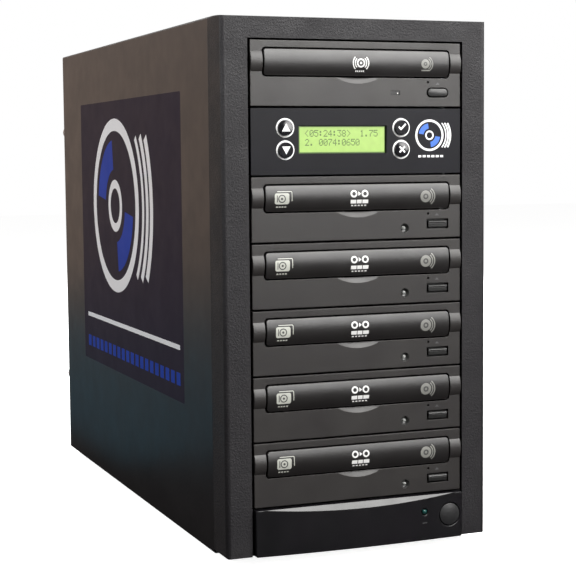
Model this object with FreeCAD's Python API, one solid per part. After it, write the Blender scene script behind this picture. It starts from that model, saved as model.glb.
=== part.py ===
import FreeCAD, Part
import math
import os
from FreeCAD import Vector

# Disc duplicator tower, in millimetres: one reader, a control panel and five burners in a steel
# case. X runs to the viewer's right, Y to the back and Z up. The origin is on the floor under the
# middle of the tower.

# Case
frame_rail_width = 17.45
case_depth = 431.0
foot_height = 5.0
sheet = 1.0
slide_gap = 0.3
seam_gap = 0.3
side_fold = 12.0
fold_round = 1.5
overrun = 2.0
full_round_share = 0.9999

# Front frame, from the floor up
frame_lift = 2.0
lower_band_height = 31.0
top_band_height = 14.0
crown_drop = 1.2
crown_middle_share = 0.72
front_frame_depth = 25.6
frame_wall = 2.5
frame_edge_round = 3.0
liner_wall = 1.6

# Bays
drive_bay_height = 42.6
control_bay_height = 43.4
burner_count = 5
bezel_lap = 0.8
bezel_side_gap = 1.6
bezel_gap = 1.2

# Lower panel with the power button and its lamp
lower_seat_depth = 3.0
lower_panel_proud = 3.0
lower_panel_bow = 3.0
lower_panel_wall = 2.2
lower_panel_round = 3.0
ledge_drop = 3.9
ledge_setback = 0.5
power_button_inset = 9.5
power_button_drop = 15.1
power_button_radius = 7.4
power_button_bore = 8.0
power_travel = 2.0
power_stem_half = 2.6
power_head_half = 4.2
power_head_thickness = 1.5
power_lamp_offset = 19.3
power_lamp_drop = 11.6
power_lamp_half = 1.1

# Drive: shell
shell_depth = 184.0
shell_inset = 0.3
shell_wall = 1.0
cage_gap = 0.3

# Drive: bezel
bezel_depth = 8.0
bezel_wall = 3.2
bezel_rim = 2.2
band_rise = 2.6
band_top_drop = 1.9
band_bulge = 1.8
scoop_width = 32.4
scoop_drop = 3.4
scoop_depth = 2.6

# Drive: door and tray
door_rise = 19.7
door_height = 17.2
door_lap = 0.9
door_gap = 0.5
door_corner = 1.3
door_thickness = 3.5
tray_travel = 132.0
tray_tail = 36.0
tray_edge = 3.9
tray_side_room = 8.8
deck_drop = 6.2
deck_thickness = 3.2
skirt_height = 10.0
skirt_wall = 2.0
disc_radius = 60.0
disc_room = 0.3
disc_edge_margin = 3.0
well_depth = 1.6
pickup_slot_width = 38.0
pickup_slot_reach = 54.0
rail_wall = 1.4
rail_lap = 1.4
guide_gap = 0.3

# Drive: eject button and lamp
eject_inset = 16.7
eject_rise = 9.8
eject_width = 15.7
eject_height = 6.3
eject_gap = 0.6
eject_proud = 0.5
eject_flange = 1.2
eject_flange_thickness = 1.2
grip_ridge_height = 0.4
grip_ridge_width = 0.7
reader_lamp_offset = 30.4
reader_lamp_rise = 9.4
reader_lamp_width = 6.6
reader_lamp_height = 2.8
burner_lamp_offset = 24.0
burner_lamp_rise = 7.4
burner_lamp_radius = 3.0
lamp_half = 2.5
lamp_depth = 3.0
lamp_fit = 0.05

# Drive: loader pinion and rack
gear_module = 3.0
gear_teeth = 9
gear_thickness = 4.0
gear_bore = 2.0
pin_fit = 0.05
gear_boss_half = 4.0
gear_setback = 12.5
rack_inset = 33.2
rack_rib_width = 4.0
rack_lift = 0.6
pressure_angle = 20.0
rack_addendum_share = 0.5
gear_addendum_share = 0.7
dedendum_share = 0.9
tooth_clearance = 0.25

# Bay cage
cage_depth = 150.0
cage_flange = 10.0
slot_margin = 30.0
slot_height = 6.0

# Control panel
control_wall = 3.0
control_rim = 2.2
control_rim_depth = 12.0
control_arm_depth = 74.0
control_arm_height = 20.0
display_x = -10.6
display_rise = 22.8
display_width = 60.6
display_height = 17.2
display_sink = 1.6
display_margin = 3.0
display_body_depth = 7.5
arrow_button_x = -50.5
entry_button_x = 30.6
upper_button_rise = 30.4
lower_button_rise = 16.3
panel_button_radius = 4.9
panel_button_thickness = 1.0
panel_button_stop = 1.2
panel_button_stem = 2.0
panel_button_travel = 0.5
board_thickness = 1.6
board_margin = 1.0
post_half = 2.5
post_inset = 6.0
chip_size = 24.0
chip_thickness = 2.6

# Data cables
ribbon_width = 46.0
ribbon_thickness = 1.0
ribbon_pitch = 6.2
ribbon_step = 4.0
ribbon_fold = 5.0
plug_width = 54.0
plug_height = 5.4
plug_depth = 9.0
ribbon_clearance = 14.0

# Top cover and thumbscrews
cover_gap = 0.8
cover_fold = 6.0
thumb_head_radius = 5.5
thumb_head_length = 8.0
thumb_flat_count = 12
thumb_inset = 66.0

# Power supply at the top of the back
supply_width = 150.0
supply_height = 86.0
supply_depth = 140.0
supply_wall = 1.2
supply_back_wall = 4.0
supply_drop = 1.0
supply_lip = 4.0
supply_vent_x = -30.0
supply_port_x = 50.0
vent_slot_height = 4.8
vent_slot_pitch = 8.0

# Mains inlet
inlet_drop = 13.0
inlet_width = 27.0
inlet_height = 19.5
inlet_wall = 1.4
inlet_flange = 2.0
inlet_flange_thickness = 1.8
inlet_depth = 18.0
inlet_chamfer = 3.5
inlet_pin_length = 11.0
inlet_pin_width = 2.0
inlet_pin_height = 4.0
inlet_pin_spread = 7.0
inlet_pin_offset = 2.2

# Rocker switch beside the inlet
rocker_rise = 20.0
rocker_radius = 9.4
rocker_width = 12.0
rocker_gap = 0.4
rocker_frame_wall = 2.2
rocker_frame_depth = 9.0
rocker_frame_proud = 1.5
rocker_pivot_sink = 3.5
rocker_pin_radius = 1.5
rocker_face_height = 3.4
rocker_tilt = 8.0

# Case fan
fan_size = 80.0
fan_depth = 25.0
fan_bore = 38.5
fan_hub_radius = 15.5
fan_hub_length = 19.0
fan_spider_thickness = 2.5
fan_spider_width = 4.0
fan_pin_radius = 1.5
fan_pin_length = 15.0
fan_blade_count = 7
fan_tip_gap = 0.9
fan_blade_chord = 13.0
fan_blade_axial = 14.0
fan_blade_camber = 2.2
fan_blade_thickness = 1.2
fan_root_radius = 8.0
grille_margin = 1.5
case_fan_drop = 22.0

# Vents low in the back wall
vent_row_count = 7
vent_length = 92.0
vent_rise = 34.0

# Feet
foot_half = 9.0
foot_flare = 1.5
foot_inset = 30.0
foot_setback = 26.0

# Places worked out from the sizes above: each width follows from the disc's
tray_width = 2 * (disc_radius + disc_room + tray_edge)
door_width = tray_width + 2 * door_lap
shell_width = tray_width + 2 * tray_side_room
bezel_width = shell_width + 2 * bezel_lap
case_width = bezel_width + 2 * (bezel_side_gap + frame_rail_width)
half_width = case_width / 2
face_y = -(case_depth + thumb_head_length - lower_panel_proud - lower_panel_bow) / 2
case_back = face_y + case_depth
frame_back = face_y + front_frame_depth
panel_front = frame_back + seam_gap
panel_bottom = foot_height
frame_bottom = panel_bottom + frame_lift
bays_bottom = frame_bottom + lower_band_height
burners_top = bays_bottom + burner_count * drive_bay_height
control_top = burners_top + control_bay_height
bays_top = control_top + drive_bay_height
frame_top_front = bays_top + top_band_height
panel_top = frame_top_front + crown_drop
skin_inset = sheet + slide_gap
chassis_half = half_width - skin_inset
chassis_bottom = panel_bottom + skin_inset
chassis_top = panel_top - skin_inset
chassis_back = case_back - skin_inset
opening_half = bezel_width / 2 + bezel_side_gap
cage_half = shell_width / 2 + cage_gap
drive_back = face_y + bezel_depth + shell_depth
door_back = face_y + door_thickness
disc_y = door_back + disc_edge_margin + disc_radius
tray_back = face_y + bezel_wall + tray_travel + tray_tail
rack_x = tray_width / 2 - rack_inset
gear_radius = gear_module * gear_teeth / 2
gear_x = rack_x + gear_radius
gear_y = face_y + bezel_depth + gear_setback
supply_back = chassis_back - sheet
supply_top = chassis_top - sheet - supply_drop
supply_bottom = supply_top - supply_height
supply_middle = supply_top - supply_height / 2
rocker_z = supply_middle + rocker_rise
rocker_pivot_y = supply_back + rocker_frame_proud - rocker_pivot_sink
inlet_z = supply_middle - inlet_drop
case_fan_z = supply_bottom - case_fan_drop - fan_size / 2
thumb_x = half_width - side_fold / 2
thumb_heights = (panel_bottom + thumb_inset, panel_top - thumb_inset)
power_button_x = bezel_width / 2 - power_button_inset
power_lamp_x = power_button_x - power_lamp_offset
eject_x = bezel_width / 2 - eject_inset
reader_lamp_x = eject_x - reader_lamp_offset
burner_lamp_x = eject_x - burner_lamp_offset
power_button_z = bays_bottom - power_button_drop
power_lamp_z = bays_bottom - power_lamp_drop
board_front = face_y + control_wall + display_body_depth
board_back = board_front + board_thickness


# Basic shapes
def block(x0, x1, y0, y1, z0, z1):
    return Part.makeBox(x1 - x0, y1 - y0, z1 - z0, Vector(x0, y0, z0))


def side_block(side, near, far, y0, y1, z0, z1):
    """A block between two distances from the middle plane, to the left (-1) or to the right (1)."""
    return block(min(side * near, side * far), max(side * near, side * far), y0, y1, z0, z1)


def cylinder_y(x, z, radius, y0, y1):
    return Part.makeCylinder(radius, y1 - y0, Vector(x, y0, z), Vector(0, 1, 0))


def cylinder_x(y, z, radius, x0, x1):
    return Part.makeCylinder(radius, x1 - x0, Vector(x0, y, z), Vector(1, 0, 0))


def cylinder_z(x, y, radius, z0, z1):
    return Part.makeCylinder(radius, z1 - z0, Vector(x, y, z0), Vector(0, 0, 1))


def prism(points, direction):
    """A solid with straight-sided ends, from its corner points and the way it is extruded."""
    return Part.Face(Part.makePolygon(points + points[:1])).extrude(direction)


def arc_nick(radius):
    """How far the middle of a quarter-round corner lies in from each of its two sides."""
    return radius * (1 - math.cos(math.pi / 4))


def rounded_face(u0, u1, v0, v1, radius, place):
    """A rectangle with round corners. place turns its two coordinates into a point."""
    nick = arc_nick(radius)
    arcs = []
    for u, v, su, sv in ((u1, v1, -1, -1), (u0, v1, 1, -1), (u0, v0, 1, 1), (u1, v0, -1, 1)):
        first = place(u, v + sv * radius)
        middle = place(u + su * nick, v + sv * nick)
        last = place(u + su * radius, v)
        arcs.append((first, middle, last) if su * sv > 0 else (last, middle, first))
    edges = []
    for index, arc in enumerate(arcs):
        edges.append(Part.Arc(*arc).toShape())
        edges.append(Part.makeLine(arc[2], arcs[(index + 1) % 4][0]))
    return Part.Face(Part.Wire(edges))


def plate_xz(x0, x1, z0, z1, radius, y0, y1):
    face = rounded_face(x0, x1, z0, z1, radius, lambda u, v: Vector(u, y0, v))
    return face.extrude(Vector(0, y1 - y0, 0))


def arc_face(start, middle, end, corners):
    """A face bounded by one arc and straight lines through the corners back to its start."""
    edges = [Part.Arc(start, middle, end).toShape()]
    path = [end] + corners + [start]
    for a, b in zip(path, path[1:]):
        edges.append(Part.makeLine(a, b))
    return Part.Face(Part.Wire(edges))


def full_round(height):
    """Corner radius for a bar with half-round ends, just under half of its height."""
    return height / 2 * full_round_share


def bevelled_xz(x0, x1, z0, z1, bevel, y0, y1):
    """A plate along Y whose four corners are cut off at 45 degrees."""
    corners = [(x0 + bevel, z0), (x1 - bevel, z0), (x1, z0 + bevel), (x1, z1 - bevel),
               (x1 - bevel, z1), (x0 + bevel, z1), (x0, z1 - bevel), (x0, z0 + bevel)]
    return prism([Vector(x, y0, z) for x, z in corners], Vector(0, y1 - y0, 0))


def square_y(x, z, half, y0, y1):
    return block(x - half, x + half, y0, y1, z - half, z + half)


def square_z(x, y, half, z0, z1):
    return block(x - half, x + half, y - half, y + half, z0, z1)


def regular_prism_y(x, z, radius, sides, y0, y1):
    """A bar along Y with a regular polygon for its section."""
    corners = [Vector(x + radius * math.cos(2 * math.pi * k / sides), y0,
                      z + radius * math.sin(2 * math.pi * k / sides)) for k in range(sides)]
    return prism(corners, Vector(0, y1 - y0, 0))


def merge(first, *others):
    return first.fuse(list(others)).removeSplitter()


def save(node, *shapes):
    solids = [solid for shape in shapes for solid in shape.Solids]
    whole = solids[0] if len(solids) == 1 else Part.makeCompound(solids)
    whole.exportStep(os.path.join("parts", node + ".step"))


# Case
def make_chassis_plate(low, high, strip_low, strip_high):
    """Floor or top plate of the steel case, between two upright strips that are welded to its sides."""
    half = chassis_half - sheet
    plate = block(-half, half, frame_back, chassis_back, low, high)
    strips = [side_block(side, half, chassis_half, frame_back, chassis_back, strip_low, strip_high)
              for side in (-1, 1)]
    return [plate] + strips


def make_chassis_base():
    return make_chassis_plate(chassis_bottom, chassis_bottom + sheet,
                              chassis_bottom, chassis_bottom + side_fold)


def make_chassis_top():
    return make_chassis_plate(chassis_top - sheet, chassis_top, chassis_top - side_fold, chassis_top)


def make_chassis_wall(plate_y, strip_y0, strip_y1, cuts):
    """Upright plate between the floor and the top plate, with a strip along Y welded to each side."""
    half = chassis_half - sheet
    plate = block(-half, half, plate_y, plate_y + sheet, chassis_bottom + sheet, chassis_top - sheet)
    strips = [side_block(side, half, chassis_half, strip_y0, strip_y1,
                         chassis_bottom + side_fold, chassis_top - side_fold) for side in (-1, 1)]
    return [plate.cut(cuts)] + strips


def make_chassis_front():
    """Front wall with the bays' window."""
    window = block(-cage_half, cage_half, frame_back - overrun, frame_back + sheet + overrun,
                   bays_bottom, bays_top)
    return make_chassis_wall(frame_back, frame_back, frame_back + side_fold, [window])


def make_chassis_back():
    """Back wall with the power supply's window, the fan's grille and the lower vents."""
    plate_y = chassis_back - sheet
    through = (plate_y - overrun, chassis_back + overrun)
    cuts = [make_supply_window()] + grille_slots(0, case_fan_z, *through) + back_vents(*through)
    return make_chassis_wall(plate_y, chassis_back - side_fold, chassis_back, cuts)


def make_supply_window():
    half = supply_width / 2 - supply_lip
    return block(-half, half, chassis_back - sheet - overrun, chassis_back + overrun,
                 supply_bottom + supply_lip, supply_top - supply_lip)


def grille_slots(x, z, y0, y1):
    """Rows of punched slots inside a fan's circle."""
    radius = fan_bore - grille_margin
    rows = int((radius - vent_slot_height / 2) / vent_slot_pitch)
    slots = []
    for row in range(-rows, rows + 1):
        middle = row * vent_slot_pitch
        reach = math.sqrt(radius ** 2 - (abs(middle) + vent_slot_height / 2) ** 2)
        slots.append(block(x - reach, x + reach, y0, y1,
                           z + middle - vent_slot_height / 2, z + middle + vent_slot_height / 2))
    return slots


def back_vents(y0, y1):
    slots = []
    for row in range(vent_row_count):
        low = chassis_bottom + vent_rise + row * vent_slot_pitch
        slots.append(block(-vent_length / 2, vent_length / 2, y0, y1, low, low + vent_slot_height))
    return slots


def make_bay_cage():
    """Two walls that carry the drives, each with a flange at both ends and a long screw slot per bay."""
    front = frame_back + sheet
    back = front + cage_depth
    low = chassis_bottom + sheet
    high = chassis_top - sheet
    outer = cage_half + sheet
    pieces = []
    for side in (-1, 1):
        wall = side_block(side, cage_half, outer, front, back, low, high)
        flanges = [side_block(side, outer, outer + cage_flange, y, y + sheet, low, high)
                   for y in (front, back - sheet)]
        slots = []
        for floor in burner_floors() + [burners_top, control_top]:
            z = floor + drive_bay_height / 2
            slots.append(side_block(side, cage_half - overrun, outer + overrun,
                                    front + slot_margin, back - slot_margin,
                                    z - slot_height / 2, z + slot_height / 2))
        pieces += [wall.cut(slots)] + flanges
    return pieces


def burner_floors():
    return [bays_bottom + index * drive_bay_height for index in range(burner_count)][::-1]


def make_top_cover():
    half = half_width - side_fold - cover_gap
    plate = block(-half, half, panel_front, case_back, chassis_top, panel_top)
    fold = block(-half, half, chassis_back, case_back, panel_top - cover_fold, panel_top)
    return merge(plate, fold)


def make_side_panel(side):
    """Cover that slides back: a skin whose three lips go over the top, the base and the back wall."""
    outline = plate_xz(-half_width, half_width, panel_bottom, panel_top, fold_round, panel_front, case_back)
    inner = half_width - sheet
    lip = half_width - side_fold
    low = panel_bottom + sheet
    high = panel_top - sheet
    pieces = [side_block(side, inner, half_width, panel_front, case_back, panel_bottom, panel_top),
              side_block(side, lip, inner, panel_front, case_back, panel_bottom, low),
              side_block(side, lip, inner, panel_front, case_back, high, panel_top),
              side_block(side, lip, inner, case_back - sheet, case_back, low, high)]
    return [outline.common(piece) for piece in pieces]


def make_thumbscrews(side):
    """Two knobs with grip flats that hold the side panel's back lip to the case."""
    return [regular_prism_y(side * thumb_x, z, thumb_head_radius, thumb_flat_count,
                            case_back, case_back + thumb_head_length) for z in thumb_heights]


def make_feet():
    """Four square rubber pads with sloping sides."""
    feet = []
    for x in (-half_width + foot_inset, half_width - foot_inset):
        for y in (frame_back + foot_setback, chassis_back - foot_setback):
            outlines = []
            for half, z in ((foot_half, 0), (foot_half + foot_flare, chassis_bottom)):
                corners = [Vector(x + sx * half, y + sy * half, z)
                           for sx, sy in ((-1, -1), (1, -1), (1, 1), (-1, 1))]
                outlines.append(Part.makePolygon(corners + corners[:1]))
            feet.append(Part.makeLoft(outlines, True, True))
    return feet


# Front frame and lower panel
def frame_outline():
    """The frame's outer block: round front edges, round upper corners and a crowned top."""
    plan_round = arc_nick(frame_edge_round)
    edge = face_y + frame_edge_round
    inner = half_width - frame_edge_round
    left = [Vector(-half_width, edge, frame_bottom),
            Vector(-half_width + plan_round, face_y + plan_round, frame_bottom),
            Vector(-inner, face_y, frame_bottom)]
    right = [Vector(inner, face_y, frame_bottom),
             Vector(half_width - plan_round, face_y + plan_round, frame_bottom),
             Vector(half_width, edge, frame_bottom)]
    back_right = Vector(half_width, frame_back, frame_bottom)
    back_left = Vector(-half_width, frame_back, frame_bottom)
    edges = [Part.Arc(*left).toShape(), Part.makeLine(left[2], right[0]), Part.Arc(*right).toShape(),
             Part.makeLine(right[2], back_right), Part.makeLine(back_right, back_left),
             Part.makeLine(back_left, left[0])]
    plan = Part.Face(Part.Wire(edges)).extrude(Vector(0, 0, panel_top - frame_bottom))
    front_view = plate_xz(-half_width, half_width, frame_bottom, panel_top, fold_round, face_y, frame_back)
    crown_middle = frame_top_front + crown_middle_share * crown_drop
    crown = arc_face(Vector(-half_width, face_y, frame_top_front),
                     Vector(-half_width, (face_y + frame_back) / 2, crown_middle),
                     Vector(-half_width, frame_back, panel_top),
                     [Vector(-half_width, frame_back, frame_bottom),
                      Vector(-half_width, face_y, frame_bottom)])
    return plan.common(front_view).common(crown.extrude(Vector(case_width, 0, 0)))


def make_front_frame():
    """Moulded front: thin walls, a lined window for the bays and a set-back seat for the lower panel."""
    low = bays_bottom - bezel_gap / 2
    high = bays_top + bezel_gap / 2
    hollow = block(-half_width + frame_wall, half_width - frame_wall, face_y + frame_wall,
                   frame_back + overrun, frame_bottom + frame_wall, frame_top_front - frame_wall)
    seat_back = face_y + lower_seat_depth + frame_wall
    seat = block(-opening_half - frame_wall, opening_half + frame_wall, face_y + frame_wall, seat_back,
                 frame_bottom, low)
    liner = block(-opening_half - liner_wall, opening_half + liner_wall, face_y + frame_wall, frame_back,
                  low - liner_wall, high + liner_wall)
    window = block(-opening_half, opening_half, face_y - overrun, frame_back + overrun, low, high)
    recess = block(-opening_half, opening_half, face_y - overrun, face_y + lower_seat_depth,
                   frame_bottom - overrun, low)
    stem_hole = square_y(power_button_x, power_button_z, power_stem_half + slide_gap,
                         face_y, seat_back + overrun)
    shell = frame_outline().cut(hollow)
    return merge(shell, seat, liner).cut([window, recess, stem_hole])


def panel_face_y(x):
    """How far forward the bowed face of the lower panel stands at a place along its width."""
    half = bezel_width / 2
    radius = (half ** 2 + lower_panel_bow ** 2) / (2 * lower_panel_bow)
    return face_y - lower_panel_proud - lower_panel_bow + radius - math.sqrt(radius ** 2 - x ** 2)


def bowed_block(x0, x1, inset, back, z0, z1):
    """A block whose front follows the lower panel's bowed face, or stays an even inset behind it."""
    front = [Vector(x, panel_face_y(x) + inset, z0) for x in (x0, (x0 + x1) / 2, x1)]
    face = arc_face(*front, [Vector(x1, back, z0), Vector(x0, back, z0)])
    return face.extrude(Vector(0, 0, z1 - z0))


def make_lower_panel():
    """Bowed cover under the bays, with a sloping ledge along its top and a thick end for the button."""
    half = bezel_width / 2
    back = face_y + lower_seat_depth
    front = face_y - lower_panel_proud
    far_front = front - lower_panel_bow - overrun
    top = bays_bottom - bezel_gap / 2
    outline = plate_xz(-half, half, frame_bottom, top + lower_panel_round, lower_panel_round, far_front, back)
    body = bowed_block(-half_width, half_width, 0, back + overrun, frame_bottom - overrun, top)
    start = front - ledge_setback
    drop = ledge_drop * (start - far_front) / (lower_panel_bow - ledge_setback)
    ledge = prism([Vector(-half_width, start, top), Vector(-half_width, far_front, top - drop),
                   Vector(-half_width, far_front, top + overrun), Vector(-half_width, start, top + overrun)],
                  Vector(case_width, 0, 0))
    pocket = bowed_block(-half + lower_panel_wall, power_lamp_x - lower_panel_wall, lower_panel_wall,
                         back + overrun, frame_bottom + lower_panel_wall, top - ledge_drop - lower_panel_wall)
    bore = cylinder_y(power_button_x, power_button_z, power_button_bore, far_front, back + overrun)
    lamp_hole = power_lamp_block(lamp_fit, far_front, back + overrun)
    return outline.common(body).cut([ledge, pocket, bore, lamp_hole])


def make_power_button():
    """Round button on a square plunger that passes through the frame, with a stop behind it."""
    rim = panel_face_y(power_button_x)
    cap_back = face_y + lower_seat_depth - slide_gap - power_travel
    cap = cylinder_y(power_button_x, power_button_z, power_button_radius, rim, cap_back)
    wall_back = face_y + lower_seat_depth + frame_wall
    stem_end = wall_back + slide_gap + power_head_thickness
    stem = square_y(power_button_x, power_button_z, power_stem_half, cap_back, stem_end)
    head = square_y(power_button_x, power_button_z, power_head_half, wall_back + slide_gap, stem_end)
    return merge(cap, stem, head)


def power_lamp_block(room, y0, y1):
    return square_y(power_lamp_x, power_lamp_z, power_lamp_half + room, y0, y1)


def make_power_lamp():
    return power_lamp_block(0, panel_face_y(power_lamp_x + power_lamp_half), face_y + lower_seat_depth)


# Drives
def band(half, z0, z1):
    """The rounded band across a drive's front: a slice of a large cylinder lying along X."""
    face = arc_face(Vector(-half, face_y, z0), Vector(-half, face_y - band_bulge, (z0 + z1) / 2),
                    Vector(-half, face_y, z1), [])
    return face.extrude(Vector(2 * half, 0, 0))


def door_band(floor):
    low = floor + door_rise
    return band(bezel_width / 2, low + band_rise, low + door_height - band_top_drop)


def eject_outline(floor, is_reader, grow, y0, y1):
    """The eject button's shape, grown all round: a pill on the reader, a rectangle on a burner."""
    width = eject_width / 2 - eject_gap + grow
    height = eject_height / 2 - eject_gap + grow
    z = floor + eject_rise
    box = (eject_x - width, eject_x + width, z - height, z + height)
    if is_reader:
        return plate_xz(*box, full_round(2 * height), y0, y1)
    return block(*box[:2], y0, y1, *box[2:])


def lamp_window(floor, is_reader, y0, y1):
    if is_reader:
        half = reader_lamp_width / 2
        z = floor + reader_lamp_rise
        return block(reader_lamp_x - half, reader_lamp_x + half, y0, y1,
                     z - reader_lamp_height / 2, z + reader_lamp_height / 2)
    return cylinder_y(burner_lamp_x, floor + burner_lamp_rise, burner_lamp_radius, y0, y1)


def make_bezel(floor, is_reader):
    """Moulded drive front: a thin wall with a rim, the rounded band, the door's slot and a finger scoop."""
    half = bezel_width / 2
    low = floor + bezel_gap / 2
    high = low + drive_bay_height - bezel_gap
    back = face_y + bezel_depth
    outside = block(-half, half, face_y, back, low, high)
    hollow = block(-half + bezel_rim, half - bezel_rim, face_y + bezel_wall, back + overrun,
                   low + bezel_rim, high - bezel_rim)
    through = (face_y - band_bulge - overrun, back + overrun)
    slot_low = floor + door_rise - door_gap
    slot_half = door_width / 2 + door_gap
    slot = bevelled_xz(-slot_half, slot_half, slot_low, slot_low + door_height + 2 * door_gap,
                       door_corner, *through)
    scoop_radius = (scoop_width ** 2 / 4 + scoop_drop ** 2) / (2 * scoop_drop)
    spread = scoop_drop / scoop_depth
    centre = Vector(0, face_y - overrun, slot_low - scoop_drop + scoop_radius)
    cone = Part.makeCone(scoop_radius + overrun * spread, scoop_radius - scoop_drop,
                         scoop_depth + overrun, centre, Vector(0, 1, 0))
    scoop = cone.common(block(-half, half, face_y - overrun, back, low, slot_low + door_gap))
    eject_hole = eject_outline(floor, is_reader, eject_gap, *through)
    body = merge(outside.cut(hollow), door_band(floor))
    return body.cut([slot, scoop, eject_hole, lamp_window(floor, is_reader, *through)])


def make_eject_button(floor, is_reader):
    """Push button with a wider flange behind the bezel, and three grip ridges on a burner's."""
    flange_front = face_y + bezel_wall + slide_gap
    cap = eject_outline(floor, is_reader, 0, face_y - eject_proud, flange_front)
    flange = eject_outline(floor, False, eject_gap + eject_flange, flange_front,
                           flange_front + eject_flange_thickness)
    ridges = []
    if not is_reader:
        reach = eject_width / 2 - eject_gap - grip_ridge_width
        for shift in (-1, 0, 1):
            middle = floor + eject_rise + shift * 2 * grip_ridge_width
            ridges.append(block(eject_x - reach, eject_x + reach, face_y - eject_proud - grip_ridge_height,
                                face_y, middle - grip_ridge_width / 2, middle + grip_ridge_width / 2))
    return merge(cap, flange, *ridges)


def make_shell(floor, is_reader):
    """Steel drive case, open at the front, with two tray rails inside and the pinion's pin if it has one."""
    half = shell_width / 2
    low = floor + bezel_gap / 2 + shell_inset
    high = floor + drive_bay_height - bezel_gap / 2 - shell_inset
    front = face_y + bezel_depth
    outside = block(-half, half, front, drive_back, low, high)
    hollow = block(-half + shell_wall, half - shell_wall, front - overrun, drive_back - shell_wall,
                   low + shell_wall, high - shell_wall)
    pieces = [make_rail(floor, side) for side in (-1, 1)]
    if is_reader:
        gear_low = rack_bottom(floor) + rack_lift
        pieces.append(square_z(gear_x, gear_y, gear_boss_half, low + shell_wall / 2, gear_low - slide_gap))
        pieces.append(cylinder_z(gear_x, gear_y, gear_bore - pin_fit, gear_low - slide_gap - overrun,
                                 gear_low + gear_thickness))
    return merge(outside.cut(hollow), *pieces)


def deck_top(floor):
    return floor + door_rise + door_height - deck_drop


def rack_bottom(floor):
    return deck_top(floor) - skirt_height + rack_lift


def make_rail(floor, side):
    """A channel that holds the tray's edge from below, beside and above."""
    wall = shell_width / 2 - shell_wall / 2
    skirt = tray_width / 2
    lip = skirt - rail_lap
    top = deck_top(floor) + guide_gap
    bottom = deck_top(floor) - skirt_height - guide_gap
    corners = [(wall, bottom - rail_wall), (skirt - skirt_wall, bottom - rail_wall),
               (skirt - skirt_wall, bottom), (skirt + guide_gap, bottom), (skirt + guide_gap, top),
               (lip, top), (lip, top + rail_wall), (wall, top + rail_wall)]
    points = [Vector(side * x, face_y + bezel_depth, z) for x, z in corners]
    return prism(points, Vector(0, shell_depth - shell_wall / 2, 0))


def make_tray(floor, is_reader):
    """Disc tray: a deck with a round disc well and a pickup slot, side skirts, and the reader's rack."""
    half = tray_width / 2
    top = deck_top(floor)
    deck = block(-half, half, door_back, tray_back, top - deck_thickness, top)
    pieces = [side_block(side, half - skirt_wall, half, door_back, tray_back, top - skirt_height, top)
              for side in (-1, 1)]
    pieces.append(block(-half, half, tray_back - skirt_wall, tray_back, top - skirt_height, top))
    if is_reader:
        pieces.append(make_rack(floor))
    well = cylinder_z(0, disc_y, disc_radius + disc_room, top - well_depth, top + overrun)
    slot_half = pickup_slot_width / 2
    pickup = block(-slot_half, slot_half, disc_y - slot_half, disc_y + pickup_slot_reach,
                   top - deck_thickness - overrun, top + overrun)
    return merge(deck, *pieces).cut([well, pickup])


def make_door(floor):
    """The tray's front cover: a slab with cut corners that carries its part of the rounded band."""
    low = floor + door_rise
    half = door_width / 2
    outline = bevelled_xz(-half, half, low, low + door_height, door_corner,
                          face_y - band_bulge - overrun, door_back)
    slab = block(-half, half, face_y, door_back, low, low + door_height)
    return merge(slab, door_band(floor)).common(outline)


def make_rack(floor):
    """A rib under the tray with teeth along the side that faces the pinion."""
    pitch = math.pi * gear_module
    low = rack_bottom(floor)
    root = rack_x - dedendum_share * gear_module
    tip = rack_x + rack_addendum_share * gear_module
    slope = math.tan(math.radians(pressure_angle))
    half_pitch_line = pitch / 4 - tooth_clearance
    half_root = half_pitch_line + (rack_x - root) * slope
    half_tip = half_pitch_line - (tip - rack_x) * slope
    back = root - rack_rib_width
    first = math.ceil((door_back + pitch / 2 - gear_y) / pitch)
    last = math.floor((tray_back - skirt_wall - pitch / 2 - gear_y) / pitch)
    points = [Vector(back, door_back, low), Vector(root, door_back, low)]
    for count in range(first, last + 1):
        y = gear_y + count * pitch
        points += [Vector(root, y - half_root, low), Vector(tip, y - half_tip, low),
                   Vector(tip, y + half_tip, low), Vector(root, y + half_root, low)]
    points += [Vector(root, tray_back, low), Vector(back, tray_back, low)]
    return prism(points, Vector(0, 0, deck_top(floor) - deck_thickness - low))


def make_loader_pinion(floor):
    """Spur pinion that turns with the rack: each straight flank joins two points of an involute."""
    base = gear_radius * math.cos(math.radians(pressure_angle))
    tip = gear_radius + gear_addendum_share * gear_module
    root = gear_radius - dedendum_share * gear_module

    def roll(radius):
        angle = math.acos(min(1, base / radius))
        return math.tan(angle) - angle
    half_pitch = math.pi / (2 * gear_teeth) - tooth_clearance / gear_radius
    half_base = half_pitch + roll(gear_radius)
    half_tip = half_base - roll(tip)
    low = rack_bottom(floor) + rack_lift
    points = []
    for tooth in range(gear_teeth):
        middle = math.pi + (tooth + 1 / 2) * 2 * math.pi / gear_teeth
        for radius, turn in ((root, -half_base), (tip, -half_tip), (tip, half_tip), (root, half_base)):
            points.append(Vector(gear_x + radius * math.cos(middle + turn),
                                 gear_y + radius * math.sin(middle + turn), low))
    gear = prism(points, Vector(0, 0, gear_thickness))
    return gear.cut(cylinder_z(gear_x, gear_y, gear_bore, low - overrun, low + gear_thickness + overrun))


def make_drive_lamps():
    """One square lamp body behind each drive's lamp window."""
    front = face_y + bezel_wall
    lamps = [square_y(reader_lamp_x, control_top + reader_lamp_rise, lamp_half, front, front + lamp_depth)]
    for floor in burner_floors():
        lamps.append(square_y(burner_lamp_x, floor + burner_lamp_rise, lamp_half, front, front + lamp_depth))
    return lamps


# Control panel
def button_places():
    upper = burners_top + upper_button_rise
    lower = burners_top + lower_button_rise
    return {"button_up": (arrow_button_x, upper), "button_down": (arrow_button_x, lower),
            "button_enter": (entry_button_x, upper), "button_cancel": (entry_button_x, lower)}


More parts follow.
